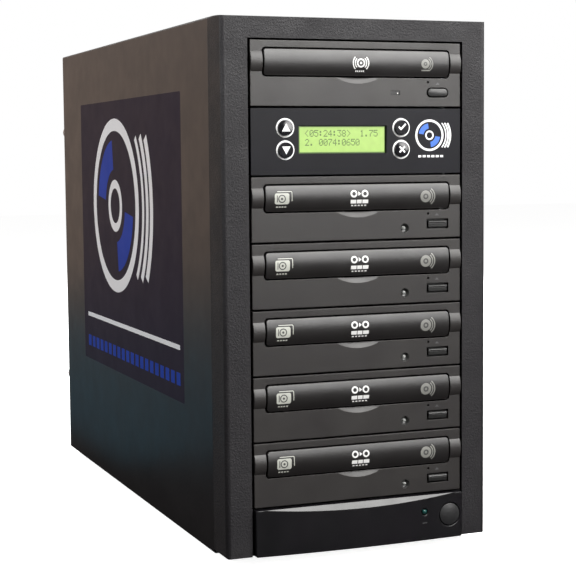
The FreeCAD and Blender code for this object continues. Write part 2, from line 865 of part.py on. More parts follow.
def post_places():
    half = bezel_width / 2 - control_rim - post_inset
    low = burners_top + bezel_gap / 2 + control_rim + post_inset
    high = burners_top + control_bay_height - bezel_gap / 2 - control_rim - post_inset
    return [(x, z) for x in (-half, half) for z in (low, high)]


def display_box(grow, y0, y1):
    x_half = display_width / 2 + grow
    z_half = display_height / 2 + grow
    z = burners_top + display_rise
    return block(display_x - x_half, display_x + x_half, y0, y1, z - z_half, z + z_half)


def make_control_panel():
    """Moulded panel with a display window, holes for the button stems, board posts and two side arms."""
    half = bezel_width / 2
    low = burners_top + bezel_gap / 2
    high = low + control_bay_height - bezel_gap
    back = face_y + control_rim_depth
    outside = block(-half, half, face_y, back, low, high)
    hollow = block(-half + control_rim, half - control_rim, face_y + control_wall, back + overrun,
                   low + control_rim, high - control_rim)
    outer = shell_width / 2
    arms = [side_block(side, outer - control_rim, outer, face_y + control_wall, face_y + control_arm_depth,
                       low, low + control_arm_height) for side in (-1, 1)]
    posts = [square_y(x, z, post_half, face_y + control_wall / 2, board_front) for x, z in post_places()]
    through = (face_y - overrun, face_y + control_wall + overrun)
    holes = [square_y(x, z, panel_button_stem + slide_gap, *through) for x, z in button_places().values()]
    return merge(outside.cut(hollow), *arms, *posts).cut([display_box(slide_gap, *through)] + holes)


def make_display():
    glass = display_box(0, face_y + display_sink, face_y + control_wall + display_body_depth / 2)
    body = display_box(display_margin, face_y + control_wall, board_front)
    return merge(glass, body)


def make_panel_button(x, z):
    """Round cap in front of the panel, on a square stem with a square stop behind the panel."""
    inner = face_y + control_wall + slide_gap
    cap_back = face_y - panel_button_travel - slide_gap
    cap = cylinder_y(x, z, panel_button_radius, cap_back - panel_button_thickness, cap_back)
    stem = square_y(x, z, panel_button_stem, cap_back, board_front - panel_button_travel - slide_gap)
    stop = square_y(x, z, panel_button_stem + panel_button_stop, inner, inner + panel_button_stop)
    return merge(cap, stem, stop)


def make_control_board():
    """Circuit board behind the panel with its processor, memory and one header for each cable."""
    half = bezel_width / 2 - control_rim - board_margin
    low = burners_top + bezel_gap / 2 + control_rim + board_margin
    high = burners_top + control_bay_height - bezel_gap / 2 - control_rim - board_margin
    board = block(-half, half, board_front, board_back, low, high)
    middle = (low + high) / 2
    chip_x = half - board_margin - chip_size
    chips = [block(x - chip_size / 2, x + chip_size / 2, board_back - board_thickness / 2,
                   board_back + chip_thickness, middle - chip_size / 2, middle + chip_size / 2)
             for x in (-chip_x, chip_x)]
    return merge(board, *chips)


# Data cables
def folded_strip(path, width, thickness):
    """A flat strip along a path of (y, z) points, with a mitred fold at each corner."""
    def offset_side(shift):
        points = []
        for index, here in enumerate(path):
            before = path[max(index - 1, 0)]
            after = path[min(index + 1, len(path) - 1)]
            turns = []
            for a, b in ((before, here), (here, after)):
                length = math.hypot(b[0] - a[0], b[1] - a[1])
                if length > 0:
                    turns.append(((a[1] - b[1]) / length, (b[0] - a[0]) / length))
            normal = (sum(turn[0] for turn in turns), sum(turn[1] for turn in turns))
            scale = shift * len(turns) / (normal[0] ** 2 + normal[1] ** 2)
            points.append(Vector(-width / 2, here[0] + normal[0] * scale, here[1] + normal[1] * scale))
        return points
    outline = offset_side(thickness / 2) + offset_side(-thickness / 2)[::-1]
    return prism(outline, Vector(width, 0, 0))


def cable_rows():
    """Height of each cable's plug on the board, and the drive floor that the cable runs to."""
    middle = burners_top + control_bay_height / 2
    floors = burner_floors() + [control_top]
    first = middle - (len(floors) - 1) * ribbon_pitch / 2
    return [(first + index * ribbon_pitch, floor) for index, floor in enumerate(floors)]


def make_data_cables():
    """One flat cable from the board to the back of each drive, nested so that none crosses another."""
    cables = []
    for index, (start_z, floor) in enumerate(cable_rows()):
        end_z = floor + drive_bay_height / 2
        turn_y = drive_back + plug_depth + ribbon_clearance
        if floor != control_top:
            turn_y += index * ribbon_step
        way = 1 if end_z > start_z else -1
        path = [(board_back + plug_depth / 2, start_z), (turn_y - ribbon_fold, start_z),
                (turn_y, start_z + way * ribbon_fold), (turn_y, end_z - way * ribbon_fold),
                (turn_y - ribbon_fold, end_z), (drive_back + plug_depth / 2, end_z)]
        strip = folded_strip(path, ribbon_width, ribbon_thickness)
        plugs = [block(-plug_width / 2, plug_width / 2, y, y + plug_depth,
                       z - plug_height / 2, z + plug_height / 2)
                 for y, z in ((board_back, start_z), (drive_back, end_z))]
        cables.append(merge(strip, *plugs))
    return cables


# Case fan
def make_fan_frame(x, z, back):
    """Square fan housing with a round duct, a four-armed spider and the rotor's pin."""
    half = fan_size / 2
    front = back - fan_depth
    duct = cylinder_y(x, z, fan_bore, front - overrun, back + overrun)
    housing = square_y(x, z, half, front, back).cut(duct)
    spider_back = front + fan_spider_thickness
    motor = regular_prism_y(x, z, fan_hub_radius, 2 * fan_blade_count, front, spider_back)
    reach = (fan_bore + half) / 2
    half_arm = fan_spider_width / 2
    arms = [block(x - reach, x + reach, front, spider_back, z - half_arm, z + half_arm),
            block(x - half_arm, x + half_arm, front, spider_back, z - reach, z + reach)]
    pin = cylinder_y(x, z, fan_pin_radius, front + fan_spider_thickness / 2, spider_back + fan_pin_length)
    return merge(housing, motor, pin, *arms)


def make_fan_rotor(x, z, back):
    """Hub with two flats to each blade, and folded blades that stand on every second flat."""
    start = back - fan_depth + fan_spider_thickness + slide_gap
    end = start + fan_hub_length
    middle = (start + end) / 2
    hub = regular_prism_y(x, z, fan_hub_radius, 2 * fan_blade_count, start, end)
    bore = cylinder_y(x, z, fan_pin_radius + pin_fit, start - overrun, start + fan_pin_length)
    half_chord = fan_blade_chord / 2
    half_axial = fan_blade_axial / 2
    root = z + fan_root_radius
    near = [Vector(x - half_chord, middle - half_axial, root),
            Vector(x - fan_blade_camber, middle + fan_blade_camber, root),
            Vector(x + half_chord, middle + half_axial, root)]
    far = [point + Vector(fan_blade_thickness, 0, 0) for point in near]
    outer = math.sqrt((fan_bore - fan_tip_gap) ** 2 - (half_chord + fan_blade_thickness) ** 2)
    strip = prism(near + far[::-1], Vector(0, 0, outer - fan_root_radius))
    blades = []
    for count in range(fan_blade_count):
        blade = strip.copy()
        blade.rotate(Vector(x, 0, z), Vector(0, 1, 0), (count + 1 / 4) * 360 / fan_blade_count)
        blades.append(blade)
    return merge(hub, *blades).cut(bore)


# Power supply
def rocker_opening(grow, y0, y1):
    half = rocker_width / 2 + rocker_gap + grow
    reach = rocker_radius + rocker_gap + grow
    return block(supply_port_x - half, supply_port_x + half, y0, y1, rocker_z - reach, rocker_z + reach)


def make_supply_can():
    """The power supply's five plain walls: front, floor, roof and two sides."""
    half = supply_width / 2
    front = supply_back - supply_depth
    inner_front = front + supply_wall
    back = supply_back - supply_back_wall
    low = supply_bottom + supply_wall
    high = supply_top - supply_wall
    walls = [block(-half, half, front, inner_front, supply_bottom, supply_top),
             block(-half, half, inner_front, back, supply_bottom, low),
             block(-half, half, inner_front, back, high, supply_top)]
    return walls + [side_block(side, half - supply_wall, half, inner_front, back, low, high)
                    for side in (-1, 1)]


def make_supply_back():
    """Thick back wall with vent slots, a cut-out for the inlet and a pocket for the mains switch."""
    half = supply_width / 2
    slots = grille_slots(supply_vent_x, supply_middle, supply_back - supply_back_wall + supply_wall,
                         supply_back + overrun)
    inlet_hole = block(supply_port_x - inlet_width / 2, supply_port_x + inlet_width / 2,
                       supply_back - supply_back_wall - overrun, supply_back + overrun,
                       inlet_z - inlet_height / 2, inlet_z + inlet_height / 2)
    rocker_front = supply_back - rocker_frame_depth
    rocker_back = supply_back + rocker_frame_proud
    frame = rocker_opening(rocker_frame_wall, rocker_front, rocker_back)
    pocket = rocker_opening(0, rocker_front + supply_wall, rocker_back + overrun)
    reach = rocker_width / 2 + rocker_gap + rocker_frame_wall / 2
    pin = cylinder_x(rocker_pivot_y, rocker_z, rocker_pin_radius,
                     supply_port_x - reach, supply_port_x + reach)
    wall = block(-half, half, supply_back - supply_back_wall, supply_back, supply_bottom, supply_top)
    return merge(merge(wall.cut(slots + [inlet_hole]), frame).cut(pocket), pin)


def make_rocker():
    """Mains switch rocker: a shallow V across a round-backed body, resting tipped to its off side."""
    y = rocker_pivot_y
    z = rocker_z
    x0 = supply_port_x - rocker_width / 2
    rise = rocker_radius * math.tan(math.radians(rocker_tilt))
    face = rocker_face_height
    corners = [(-face, -rocker_radius), (face + rise, -rocker_radius), (face, 0),
               (face + rise, rocker_radius), (-face, rocker_radius)]
    wedge = prism([Vector(x0, y + dy, z + dz) for dy, dz in corners], Vector(rocker_width, 0, 0))
    rocker = wedge.common(cylinder_x(y, z, rocker_radius, x0, x0 + rocker_width))
    bore = cylinder_x(y, z, rocker_pin_radius + pin_fit, x0 - overrun, x0 + rocker_width + overrun)
    rocker = rocker.cut(bore)
    rocker.rotate(Vector(0, y, z), Vector(1, 0, 0), rocker_tilt)
    return rocker


def inlet_outline(inset, y0, y1):
    """Six-sided outline of the mains socket, with its two upper corners cut off."""
    half = inlet_width / 2 - inset
    low = inlet_z - inlet_height / 2 + inset
    high = inlet_z + inlet_height / 2 - inset
    corners = [(-half, low), (half, low), (half, high - inlet_chamfer), (half - inlet_chamfer, high),
               (-half + inlet_chamfer, high), (-half, high - inlet_chamfer)]
    return prism([Vector(supply_port_x + x, y0, z) for x, z in corners], Vector(0, y1 - y0, 0))


def make_mains_inlet():
    """Mains socket: a flanged body with a deep well and three flat pins."""
    bottom = supply_back - inlet_depth
    body = block(supply_port_x - inlet_width / 2, supply_port_x + inlet_width / 2, bottom, supply_back,
                 inlet_z - inlet_height / 2, inlet_z + inlet_height / 2)
    half = inlet_width / 2 + inlet_flange
    reach = inlet_height / 2 + inlet_flange
    mouth = supply_back + inlet_flange_thickness
    flange = block(supply_port_x - half, supply_port_x + half, supply_back, mouth,
                   inlet_z - reach, inlet_z + reach)
    well = inlet_outline(inlet_wall, bottom + inlet_wall, mouth + overrun)
    pins = []
    for x, z in ((-inlet_pin_spread, -inlet_pin_offset), (0, inlet_pin_offset),
                 (inlet_pin_spread, -inlet_pin_offset)):
        pins.append(block(supply_port_x + x - inlet_pin_width / 2, supply_port_x + x + inlet_pin_width / 2,
                          bottom + inlet_wall / 2, bottom + inlet_wall + inlet_pin_length,
                          inlet_z + z - inlet_pin_height / 2, inlet_z + z + inlet_pin_height / 2))
    return merge(merge(body, flange).cut(well), *pins)


def build():
    os.makedirs("parts", exist_ok=True)
    save("chassis_base", *make_chassis_base())
    save("chassis_top", *make_chassis_top())
    save("chassis_front", *make_chassis_front())
    save("chassis_back", *make_chassis_back())
    save("bay_cage", *make_bay_cage())
    save("top_cover", make_top_cover())
    save("left_panel", *make_side_panel(-1))
    save("right_panel", *make_side_panel(1))
    save("thumbscrews_left", *make_thumbscrews(-1))
    save("thumbscrews_right", *make_thumbscrews(1))
    save("feet", *make_feet())
    save("front_frame", make_front_frame())
    save("lower_panel", make_lower_panel())
    save("power_button", make_power_button())
    save("power_lamp", make_power_lamp())
    drives = [("reader", control_top, True)]
    for number, floor in enumerate(burner_floors(), start=1):
        drives.append((f"burner_{number}", floor, False))
    for name, floor, is_reader in drives:
        save(name + "_bezel", make_bezel(floor, is_reader))
        save(name + "_shell", make_shell(floor, is_reader))
        save(name + "_tray", make_tray(floor, is_reader))
        save(name + "_door", make_door(floor))
        save(name + "_eject_button", make_eject_button(floor, is_reader))
    save("reader_loader_pinion", make_loader_pinion(control_top))
    save("drive_lamps", *make_drive_lamps())
    save("control_panel", make_control_panel())
    save("control_display", make_display())
    save("control_board", make_control_board())
    for name, (x, z) in button_places().items():
        save(name, make_panel_button(x, z))
    save("data_cables", *make_data_cables())
    save("supply_case", *make_supply_can(), make_supply_back())
    save("supply_switch", make_rocker())
    save("mains_inlet", make_mains_inlet())
    save("case_fan_frame", make_fan_frame(0, case_fan_z, chassis_back - sheet))
    save("case_fan_rotor", make_fan_rotor(0, case_fan_z, chassis_back - sheet))


build()
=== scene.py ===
from math import acos, cos, degrees, hypot, pi, radians, sin, sqrt

import bmesh
import bpy
from mathutils import Matrix, Vector


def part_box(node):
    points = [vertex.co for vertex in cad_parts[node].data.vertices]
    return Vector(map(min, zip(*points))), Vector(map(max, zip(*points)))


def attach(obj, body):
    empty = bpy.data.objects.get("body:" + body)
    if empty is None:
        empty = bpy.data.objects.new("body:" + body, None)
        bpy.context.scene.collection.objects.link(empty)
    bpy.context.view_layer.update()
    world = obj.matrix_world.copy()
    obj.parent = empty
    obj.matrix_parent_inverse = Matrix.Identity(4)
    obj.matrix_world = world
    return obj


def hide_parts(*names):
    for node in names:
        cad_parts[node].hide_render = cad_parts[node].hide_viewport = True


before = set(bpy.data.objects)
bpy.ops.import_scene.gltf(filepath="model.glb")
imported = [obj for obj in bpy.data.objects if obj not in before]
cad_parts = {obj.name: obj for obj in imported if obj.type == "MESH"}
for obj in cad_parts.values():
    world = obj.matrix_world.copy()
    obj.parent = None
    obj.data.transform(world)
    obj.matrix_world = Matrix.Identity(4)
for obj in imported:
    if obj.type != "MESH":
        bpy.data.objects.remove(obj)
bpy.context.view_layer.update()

# Lengths are in metres and written in millimetres times MM. X runs to the viewer's right, Y to the
# back and Z up, as in the frame.
MM = 0.001

# Camera, found by fitting the tower's straight edges
camera_place = Vector((-402.0, -1120.9, 263.2)) * MM
camera_yaw = radians(21.294)
camera_pitch = radians(4.921)
camera_roll = radians(-0.507)
focal_pixels = 1525.4
frame_pixels = 576
sensor_width = 36.0

# Edges flatter than these angles, in degrees, are shaded as smooth: moulded parts, bezels, turned parts
smooth_below = 40
crisp_above = 24
turned_angle = 35

# Drive fronts: places from the middle plane and from the bay's floor up. Tuples are in millimetres:
# (left, right, bottom, top) of an opening, or (x, z) of a point.
bay_gap = 1.2 * MM
bezel_half = 73.8 * MM
bezel_wall = 3.2 * MM
bezel_rim = 2.2 * MM
bezel_edge = 0.5 * MM
fine_edge = 0.16 * MM
band_bulge = 1.8 * MM
band_rise = 2.6 * MM
band_top_drop = 1.9 * MM
band_facets = 28
door_corner = 2.0 * MM
door_edge = 0.35 * MM
slot_gap = 0.7 * MM
door_inset = 0.25 * MM
slot_corner = 2.5 * MM
scoop_half = 17.6 * MM
scoop_drop = 3.8 * MM
scoop_depth = 1.9 * MM
door_round_drop = 0.8 * MM
door_round_rise = 0.4 * MM
door_rows = 34
door_columns = 10
eject_hole = (49.15, 65.05, 6.5, 13.1)
eject_corner = 0.5 * MM
pill_share = 0.999
reader_window = (23.4, 30.0, 8.0, 10.8)
window_corner = 0.4 * MM
burner_lamp = (33.1, 7.4)
burner_lamp_radius = 3.0 * MM
pinhole = (50.15, 16.55)
pinhole_radius = 0.75 * MM
reader_eject_mark = (57.2, 15.6)
burner_eject_mark = (56.6, 15.9)
overrun = 2.0 * MM
cutter_start = 6 * MM
cutter_depth = 20 * MM

# Carried-over nodes: how wide their edges are rounded, and what is joined first
frame_round = 0.4 * MM
pill_round = 0.4 * MM
node_round = 0.2 * MM
weld_reach = 0.002 * MM
flat_within = 0.5

# Burner's eject bar: its section in millimetres as (offset along Y, height from its middle)
bar_section = [(3.5, -2.4), (0.5, -2.4), (-0.2, -2.0), (-0.2, 0.3), (0.3, 0.45), (0.3, 0.85), (-0.6, 1.05),
               (-0.65, 1.2), (0.1, 2.1), (0.6, 2.3), (3.5, 2.3)]
bar_side_gap = 1.2
flange_lap = 1.2
flange_front = 3.5
flange_back = 4.7
flange_half = 4.35
bar_edge = 0.12 * MM

# Round lamps: lens, and the seat's (radius, offset along Y) steps in millimetres
lens_radius = 1.45 * MM
lens_rise = 1.2 * MM
lens_rim = 0.1 * MM
lens_set_back = 0.9 * MM
lens_back = 3.0 * MM
lens_seat = [(1.5, 2.4), (2.2, 2.1), (2.94, 0.35), (2.96, 0.4), (2.96, 3.1), (1.5, 3.1)]
small_round = 32

# Reader's lamp window, and the spot behind it as (x, z, radius) in millimetres
window_set_back = 0.35 * MM
window_gap = 0.1 * MM
window_depth = 2.8 * MM
window_edge = 0.15 * MM
lamp_spot = (28.3, 9.3, 0.45)

# Control panel, in millimetres from the middle plane and from the panel's floor
key_columns = (-50.5, 30.6)
key_rows = (30.4, 16.3)
key_ring = (6.18, 5.0)
cross_reach = 2.7
cross_half = 0.57
screen_lines = (("<05:24:38>  1.75", 29.0), ("2. 0074:0650", 23.3))
# The first place below is a dark green strip that shows round the lit sheet: painted shade cast by the
# window's edge onto the screen
screen_painted_shade_place = (-40.9, 19.7, 14.2, 31.4)
screen_sheet_place = (-40.1, 19.2, 14.9, 30.9)
line_start = -36.4
character_pitch = 3.2
dot_width = 0.56
dot_height = 0.61
panel_motif = (51.2, 25.4, 10.3)
panel_row = (43.0, 46.2, 49.4, 52.6, 55.8, 59.0)
panel_row_width = 2.2
panel_row_low = 11.0
panel_row_high = 12.4

# Disc motif, in shares of its size; the echoes beside it are (first, step) by number
motif_rim = (1, 0.86)
motif_hub = (0.3, 0.2)
motif_wedge = (0.76, 0.42)
echo_outer = (1.04, 0.17)
echo_inner = (0.98, 0.15)
echo_reach = (46, 5)

# Lower panel, power button and lamp: bow_room is what the outline's top corners stand clear of the panel,
# and the ledge's slope is its drop for each length towards the viewer
panel_bow = 3.0 * MM
panel_corner = 1 * MM
panel_edge = 0.45 * MM
bow_room = 3 * MM
ledge_set_back = 0.5 * MM
ledge_reach = 4.5 * MM
ledge_slope = 3.9 / 2.5
ledge_half = 0.1
ledge_over = 1 * MM
button_bore = 8 * MM
lamp_bore = 2.4 * MM
cap_radius = 7.4 * MM
cap_rise = 1.1 * MM
cap_rim = 0.6 * MM
cap_set_back = 0.7 * MM
stem_half = 2.6 * MM
stem_head_half = 4.2 * MM
stem_head_depth = 1.5 * MM
lamp_half = 1.4 * MM
lamp_set_back = 0.1 * MM
bulb_radius = 1.5 * MM
bulb_rise = 0.7 * MM
bulb_rim = 0.15 * MM
bulb_proud = 0.75 * MM
bulb_set_back = 0.05 * MM
lamp_seat = [(1.5, 2.4), (2.35, 1.2), (2.35, 3.4), (1.5, 3.4)]
power_mark = (-1.6, 1.6, -7.8, -7.3)
power_mark_lift = 0.15 * MM

# Side covers, and the left one's print in millimetres (to the front, up)
cover_outer = 92.8 * MM
cover_lip = 80.85 * MM
cover_sheet = 1.0 * MM
cover_fold = 1.5 * MM
cover_edge = 0.2 * MM
cover_edge_angle = 50
facing_up = 0.7
side_sheet = (-151, 130.5, 94.8, 307.9, 1.5)
side_motif = (-44.0, 226.0, 68.0)
side_line = (-138, 122, 131, 134.5)
side_row_start = -138
side_row_width = 9
side_row_pitch = 13.2
side_row_count = 20
side_row_low = 106
side_row_high = 115
side_print_step = 0.02 * MM
side_print_depth = 0.015 * MM

# Back: turned parts as (radius, offset along Y, knurled) steps in millimetres
knob_inset = 5.5 * MM
knob_steps = [(0, 7.1), (2.6, 7.1), (3.0, 7.95), (4.7, 7.95), (5.45, 7.2, 1), (5.45, 1.5, 1), (4.9, 1.0),
              (4.2, 0.6), (4.2, 0)]
knob_round = 120
knurl_count = 30
knurl_cut = 0.4 * MM
screw_steps = [(0, 1.9), (1.55, 1.8), (2.635, 1.3), (3.1, 0.6), (3.1, 0)]
screw_round = 40
screw_sink = 0.2 * MM
recess_reach = 1.5
recess_half = 0.32
recess_floor = 1.0
recess_end = 3
supply_screw_x = 74.3 * MM
supply_screw_inset = 6 * MM
fan_screw_offset = 35.75 * MM
pin_places = ((-7.0, -2.2), (0, 2.2), (7.0, -2.2))
pin_half = 1.1
pin_half_height = 2.1
pin_start = 1.4 * MM
pin_end = 12.6 * MM
pin_edge = 0.3 * MM

# Trays: the ring round the place for a small disc, in millimetres and degrees
well_depth = 1.6 * MM
disc_set_back = 63 * MM
disc_ring = (40.7, 40.0, 121, 419)
disc_ring_sink = 0.1 * MM
disc_ring_height = 0.5 * MM

# Floor and world: what the camera sees is near white, what they give off is little
floor_reach = 6.0
floor_glow = 0.92
floor_bounce = (0.035, 0.032, 0.032, 1)
fill_colour = (1, 0.98, 0.96, 1)
fill_strength = 0.06

# Printed marks: how far they stand in front of what carries them, and how thick they are
print_lift = 0.03 * MM
print_depth = 0.02 * MM
print_slice = 0.7 * MM

names = ["reader"] + [f"burner_{number}" for number in range(1, 6)]
face_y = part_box("control_panel")[0].y
floors = {name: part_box(name + "_bezel")[0].z - bay_gap / 2 for name in names}
control_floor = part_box("control_panel")[0].z - bay_gap / 2


# Meshes
def linked(name, data):
    """A new object in the scene."""
    obj = bpy.data.objects.new(name, data)
    bpy.context.scene.collection.objects.link(obj)
    return obj


def add_object(name, mesh, material, body):
    obj = linked(name, mesh)
    mesh.name = name
    mesh.materials.clear()
    mesh.materials.append(material)
    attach(obj, body)
    return obj


def mesh_of(bm, angle=30):
    """A mesh with outward faces and smooth shading up to the given angle."""
    bmesh.ops.recalc_face_normals(bm, faces=bm.faces)
    mesh = bpy.data.meshes.new("mesh")
    bm.to_mesh(mesh)
    bm.free()
    mesh.shade_smooth()
    mesh.set_sharp_from_angle(angle=radians(angle))
    return mesh


def edge_steps(length, radius, middle, count=9):
    """Places from 0 to length: close together near both ends, as a quarter round needs, and even between."""
    ends = [radius * (1 - cos(pi / 2 * k / count)) for k in range(count + 1)]
    span = length - 2 * radius
    inner = [radius + span * k / middle for k in range(1, middle)]
    return ends + inner + [length - e for e in reversed(ends)]


def rounded_plate(x0, x1, z0, z1, radius, edge, front, back, rows, columns):
    """A plate that faces the viewer: rounded outline, rounded edge, and a front that follows front(x, z)."""
    bm = bmesh.new()
    half = (x1 - x0) / 2
    middle = (x0 + x1) / 2
    shares = [s * 2 - 1 for s in edge_steps(1, edge / half, columns, 4)]
    grid = []
    for dz in edge_steps(z1 - z0, radius, rows):
        near = min(dz, z1 - z0 - dz)
        inset = max(0, radius - near)
        reach = half - radius + sqrt(max(0, radius ** 2 - inset ** 2))
        row = []
        for share in shares:
            x = middle + share * reach
            z = z0 + dz
            cx = max(0, abs(x - middle) - (half - radius))
            cz = max(0, abs(z - (z0 + z1) / 2) - ((z1 - z0) / 2 - radius))
            if cx > 0 and cz > 0:
                distance = radius - hypot(cx, cz)
            else:
                distance = min(half - abs(x - middle), near)
            lean = max(0, edge - max(0, distance))
            drop = edge - sqrt(max(0, edge ** 2 - lean ** 2))
            row.append(bm.verts.new((x, front(x, z) + drop, z)))
        grid.append(row)
    for lower, upper in zip(grid, grid[1:]):
        for a, b, c, d in zip(lower, lower[1:], upper[1:], upper):
            bm.faces.new((a, b, c, d))
    loop = grid[0] + [row[-1] for row in grid[1:]] + grid[-1][-2::-1] + [row[0] for row in grid[-2:0:-1]]
    rear = [bm.verts.new((v.co.x, back, v.co.z)) for v in loop]
    for k, (v, r) in enumerate(zip(loop, rear)):
        following = (k + 1) % len(loop)
        bm.faces.new((v, loop[following], rear[following], r))
    bm.faces.new(rear[::-1])
    bmesh.ops.remove_doubles(bm, verts=bm.verts, dist=1e-7)
    return mesh_of(bm, smooth_below)


def loft_mesh(near, far, angle=30):
    """A closed mesh between two outlines with as many points each."""
    bm = bmesh.new()
    loops = [[bm.verts.new(p) for p in outline] for outline in (near, far)]
    bm.faces.new(loops[0])
    bm.faces.new(loops[1][::-1])
    for k in range(len(near)):
        following = (k + 1) % len(near)
        bm.faces.new((loops[0][following], loops[0][k], loops[1][k], loops[1][following]))
    return mesh_of(bm, angle)


def prism_mesh(points, way, angle=30):
    return loft_mesh(points, [Vector(p) + Vector(way) for p in points], angle)


def through_front(outline):
    """A cutter along Y through a drive's front, from an outline of (x, z) points."""
    return prism_mesh([(x, face_y - cutter_start, z) for x, z in outline], (0, cutter_depth, 0))


def box_mesh(low, high):
    points = [(low[0], low[1], low[2]), (high[0], low[1], low[2]),
              (high[0], low[1], high[2]), (low[0], low[1], high[2])]
    return prism_mesh(points, (0, high[1] - low[1], 0))


def arc(x, z, radius, start, end, count):
    """Points on an arc, in degrees from the first axis."""
    turns = [radians(start + (end - start) * k / count) for k in range(count + 1)]
    return [(x + radius * cos(turn), z + radius * sin(turn)) for turn in turns]


def disc(x, z, radius, count=48):
    return arc(x, z, radius, 0, 360, count)[:-1]


def sector(x, z, outer, inner, start, end, count):
    return arc(x, z, outer, start, end, count) + arc(x, z, inner, end, start, count)


def ring(x, z, outer, inner, count):
    """A ring as two halves, because an outline has no hole."""
    return [sector(x, z, outer, inner, start, start + 180, count) for start in (0, 180)]


def rounded_rectangle(x0, x1, z0, z1, radius, steps=6):
    """Corner points (x, z) of a rectangle with round corners."""
    points = []
    for cx, cz, start in ((x1 - radius, z0 + radius, -90), (x1 - radius, z1 - radius, 0),
                          (x0 + radius, z1 - radius, 90), (x0 + radius, z0 + radius, 180)):
        points += arc(cx, cz, radius, start, start + 90, steps)
    return points


def rectangle(x0, x1, z0, z1):
    return [(x0, z0), (x1, z0), (x1, z1), (x0, z1)]


def scaled(outline, x, z):
    """An outline in millimetres turned into metres and moved."""
    return [(x + u * MM, z + v * MM) for u, v in outline]


def middle_of(low, high):
    """The middle (x, z) of a box, as seen from the front."""
    return (low.x + high.x) / 2, (low.z + high.z) / 2


def add_bevel(obj, width, segments, angle, harden=False):
    bevel = obj.modifiers.new("edges", "BEVEL")
    bevel.width = width
    bevel.segments = segments
    bevel.limit_method = "ANGLE"
    bevel.angle_limit = radians(angle)
    bevel.use_clamp_overlap = False
    bevel.harden_normals = harden
    bevel.miter_outer = "MITER_ARC"


def carve(mesh, cutters, outer=0.0, edge=0.0, union=(), shared=(), angle=40, edge_angle=60):
    """The mesh with its outer edges rounded, the cutters taken away and the new edges rounded."""
    obj = linked("carving", mesh)
    tools = []
    if outer:
        add_bevel(obj, outer, 3, 60)
    for operation, group in (("UNION", union), ("INTERSECT", shared), ("DIFFERENCE", cutters)):
        for cutter in group:
            tools.append(linked("cutter", cutter))
            modifier = obj.modifiers.new("cut", "BOOLEAN")
            modifier.operation = operation
            modifier.solver = "EXACT"
            modifier.object = tools[-1]
    if edge:
        add_bevel(obj, edge, 2, edge_angle)
    depsgraph = bpy.context.evaluated_depsgraph_get()
    result = bpy.data.meshes.new_from_object(obj.evaluated_get(depsgraph))
    for item in tools + [obj]:
        bpy.data.objects.remove(item)
    result.shade_smooth()
    result.set_sharp_from_angle(angle=radians(angle))
    return result


def even_shading(obj):
    """Large faces keep their own shading next to small rounded edges."""
    weighted = obj.modifiers.new("even shading", "WEIGHTED_NORMAL")
    weighted.keep_sharp = True
    return obj


def soften(obj, width, segments=2, angle=35):
    add_bevel(obj, width, segments, angle, True)
    return obj


def soften_node(node, width, segments=2):
    """Joins a carried-over node's split corners and rounds its sharp edges."""
    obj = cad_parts[node]
    weld = obj.modifiers.new("joined", "WELD")
    weld.merge_threshold = weld_reach
    flat = obj.modifiers.new("flat faces", "DECIMATE")
    flat.decimate_type = "DISSOLVE"
    flat.angle_limit = radians(flat_within)
    return soften(obj, width, segments)


def lathe_mesh(x, z, profile, count, knurls=0, knurl_depth=0.0):
    """A turned mesh about an axis along Y, from (radius, y, knurled) steps that run front to back."""
    bm = bmesh.new()
    loops = []
    for radius, y, *knurled in profile:
        if radius == 0:
            loops.append([bm.verts.new((x, y, z))])
            continue
        loop = []
        for k in range(count):
            turn = 2 * pi * k / count
            near = radius - knurl_depth * (0.5 - 0.5 * cos(turn * knurls)) if knurled else radius
            loop.append(bm.verts.new((x + near * cos(turn), y, z + near * sin(turn))))
        loops.append(loop)
    for first, second in zip(loops, loops[1:]):
        for k in range(count):
            following = (k + 1) % count
            corners = [first[k % len(first)], first[following % len(first)],
                       second[following % len(second)], second[k % len(second)]]
            bm.faces.new(list(dict.fromkeys(corners)))
    for loop in (loops[0], loops[-1]):
        if len(loop) > 1:
            bm.faces.new(loop)
    return mesh_of(bm, turned_angle)


def turned(base, steps):
    """Profile from (radius, offset along Y) steps in millimetres, the offset counted from base."""
    return [(step[0] * MM, base + step[1] * MM, *step[2:]) for step in steps]


def joined(meshes, angle=turned_angle):
    """Several meshes in one."""
    bm = bmesh.new()
    for mesh in meshes:
        bm.from_mesh(mesh)
    return mesh_of(bm, angle)


def dome_profile(radius, rise, front, edge, back, steps=10):
    """Profile of a domed cap: front is its highest place along Y and edge the size of its rounded rim."""
    inner = radius - edge
    sphere = (inner ** 2 + rise ** 2) / (2 * rise)
    points = []
    for k in range(steps + 1):
        reach = inner * k / steps
        points.append((reach, front + sphere - sqrt(sphere ** 2 - reach ** 2)))
    last = points[-1][1]
    for k in range(1, 5):
        turn = pi / 2 * k / 4
        points.append((inner + edge * sin(turn), last + edge * (1 - cos(turn))))
    return points + [(radius, back)]


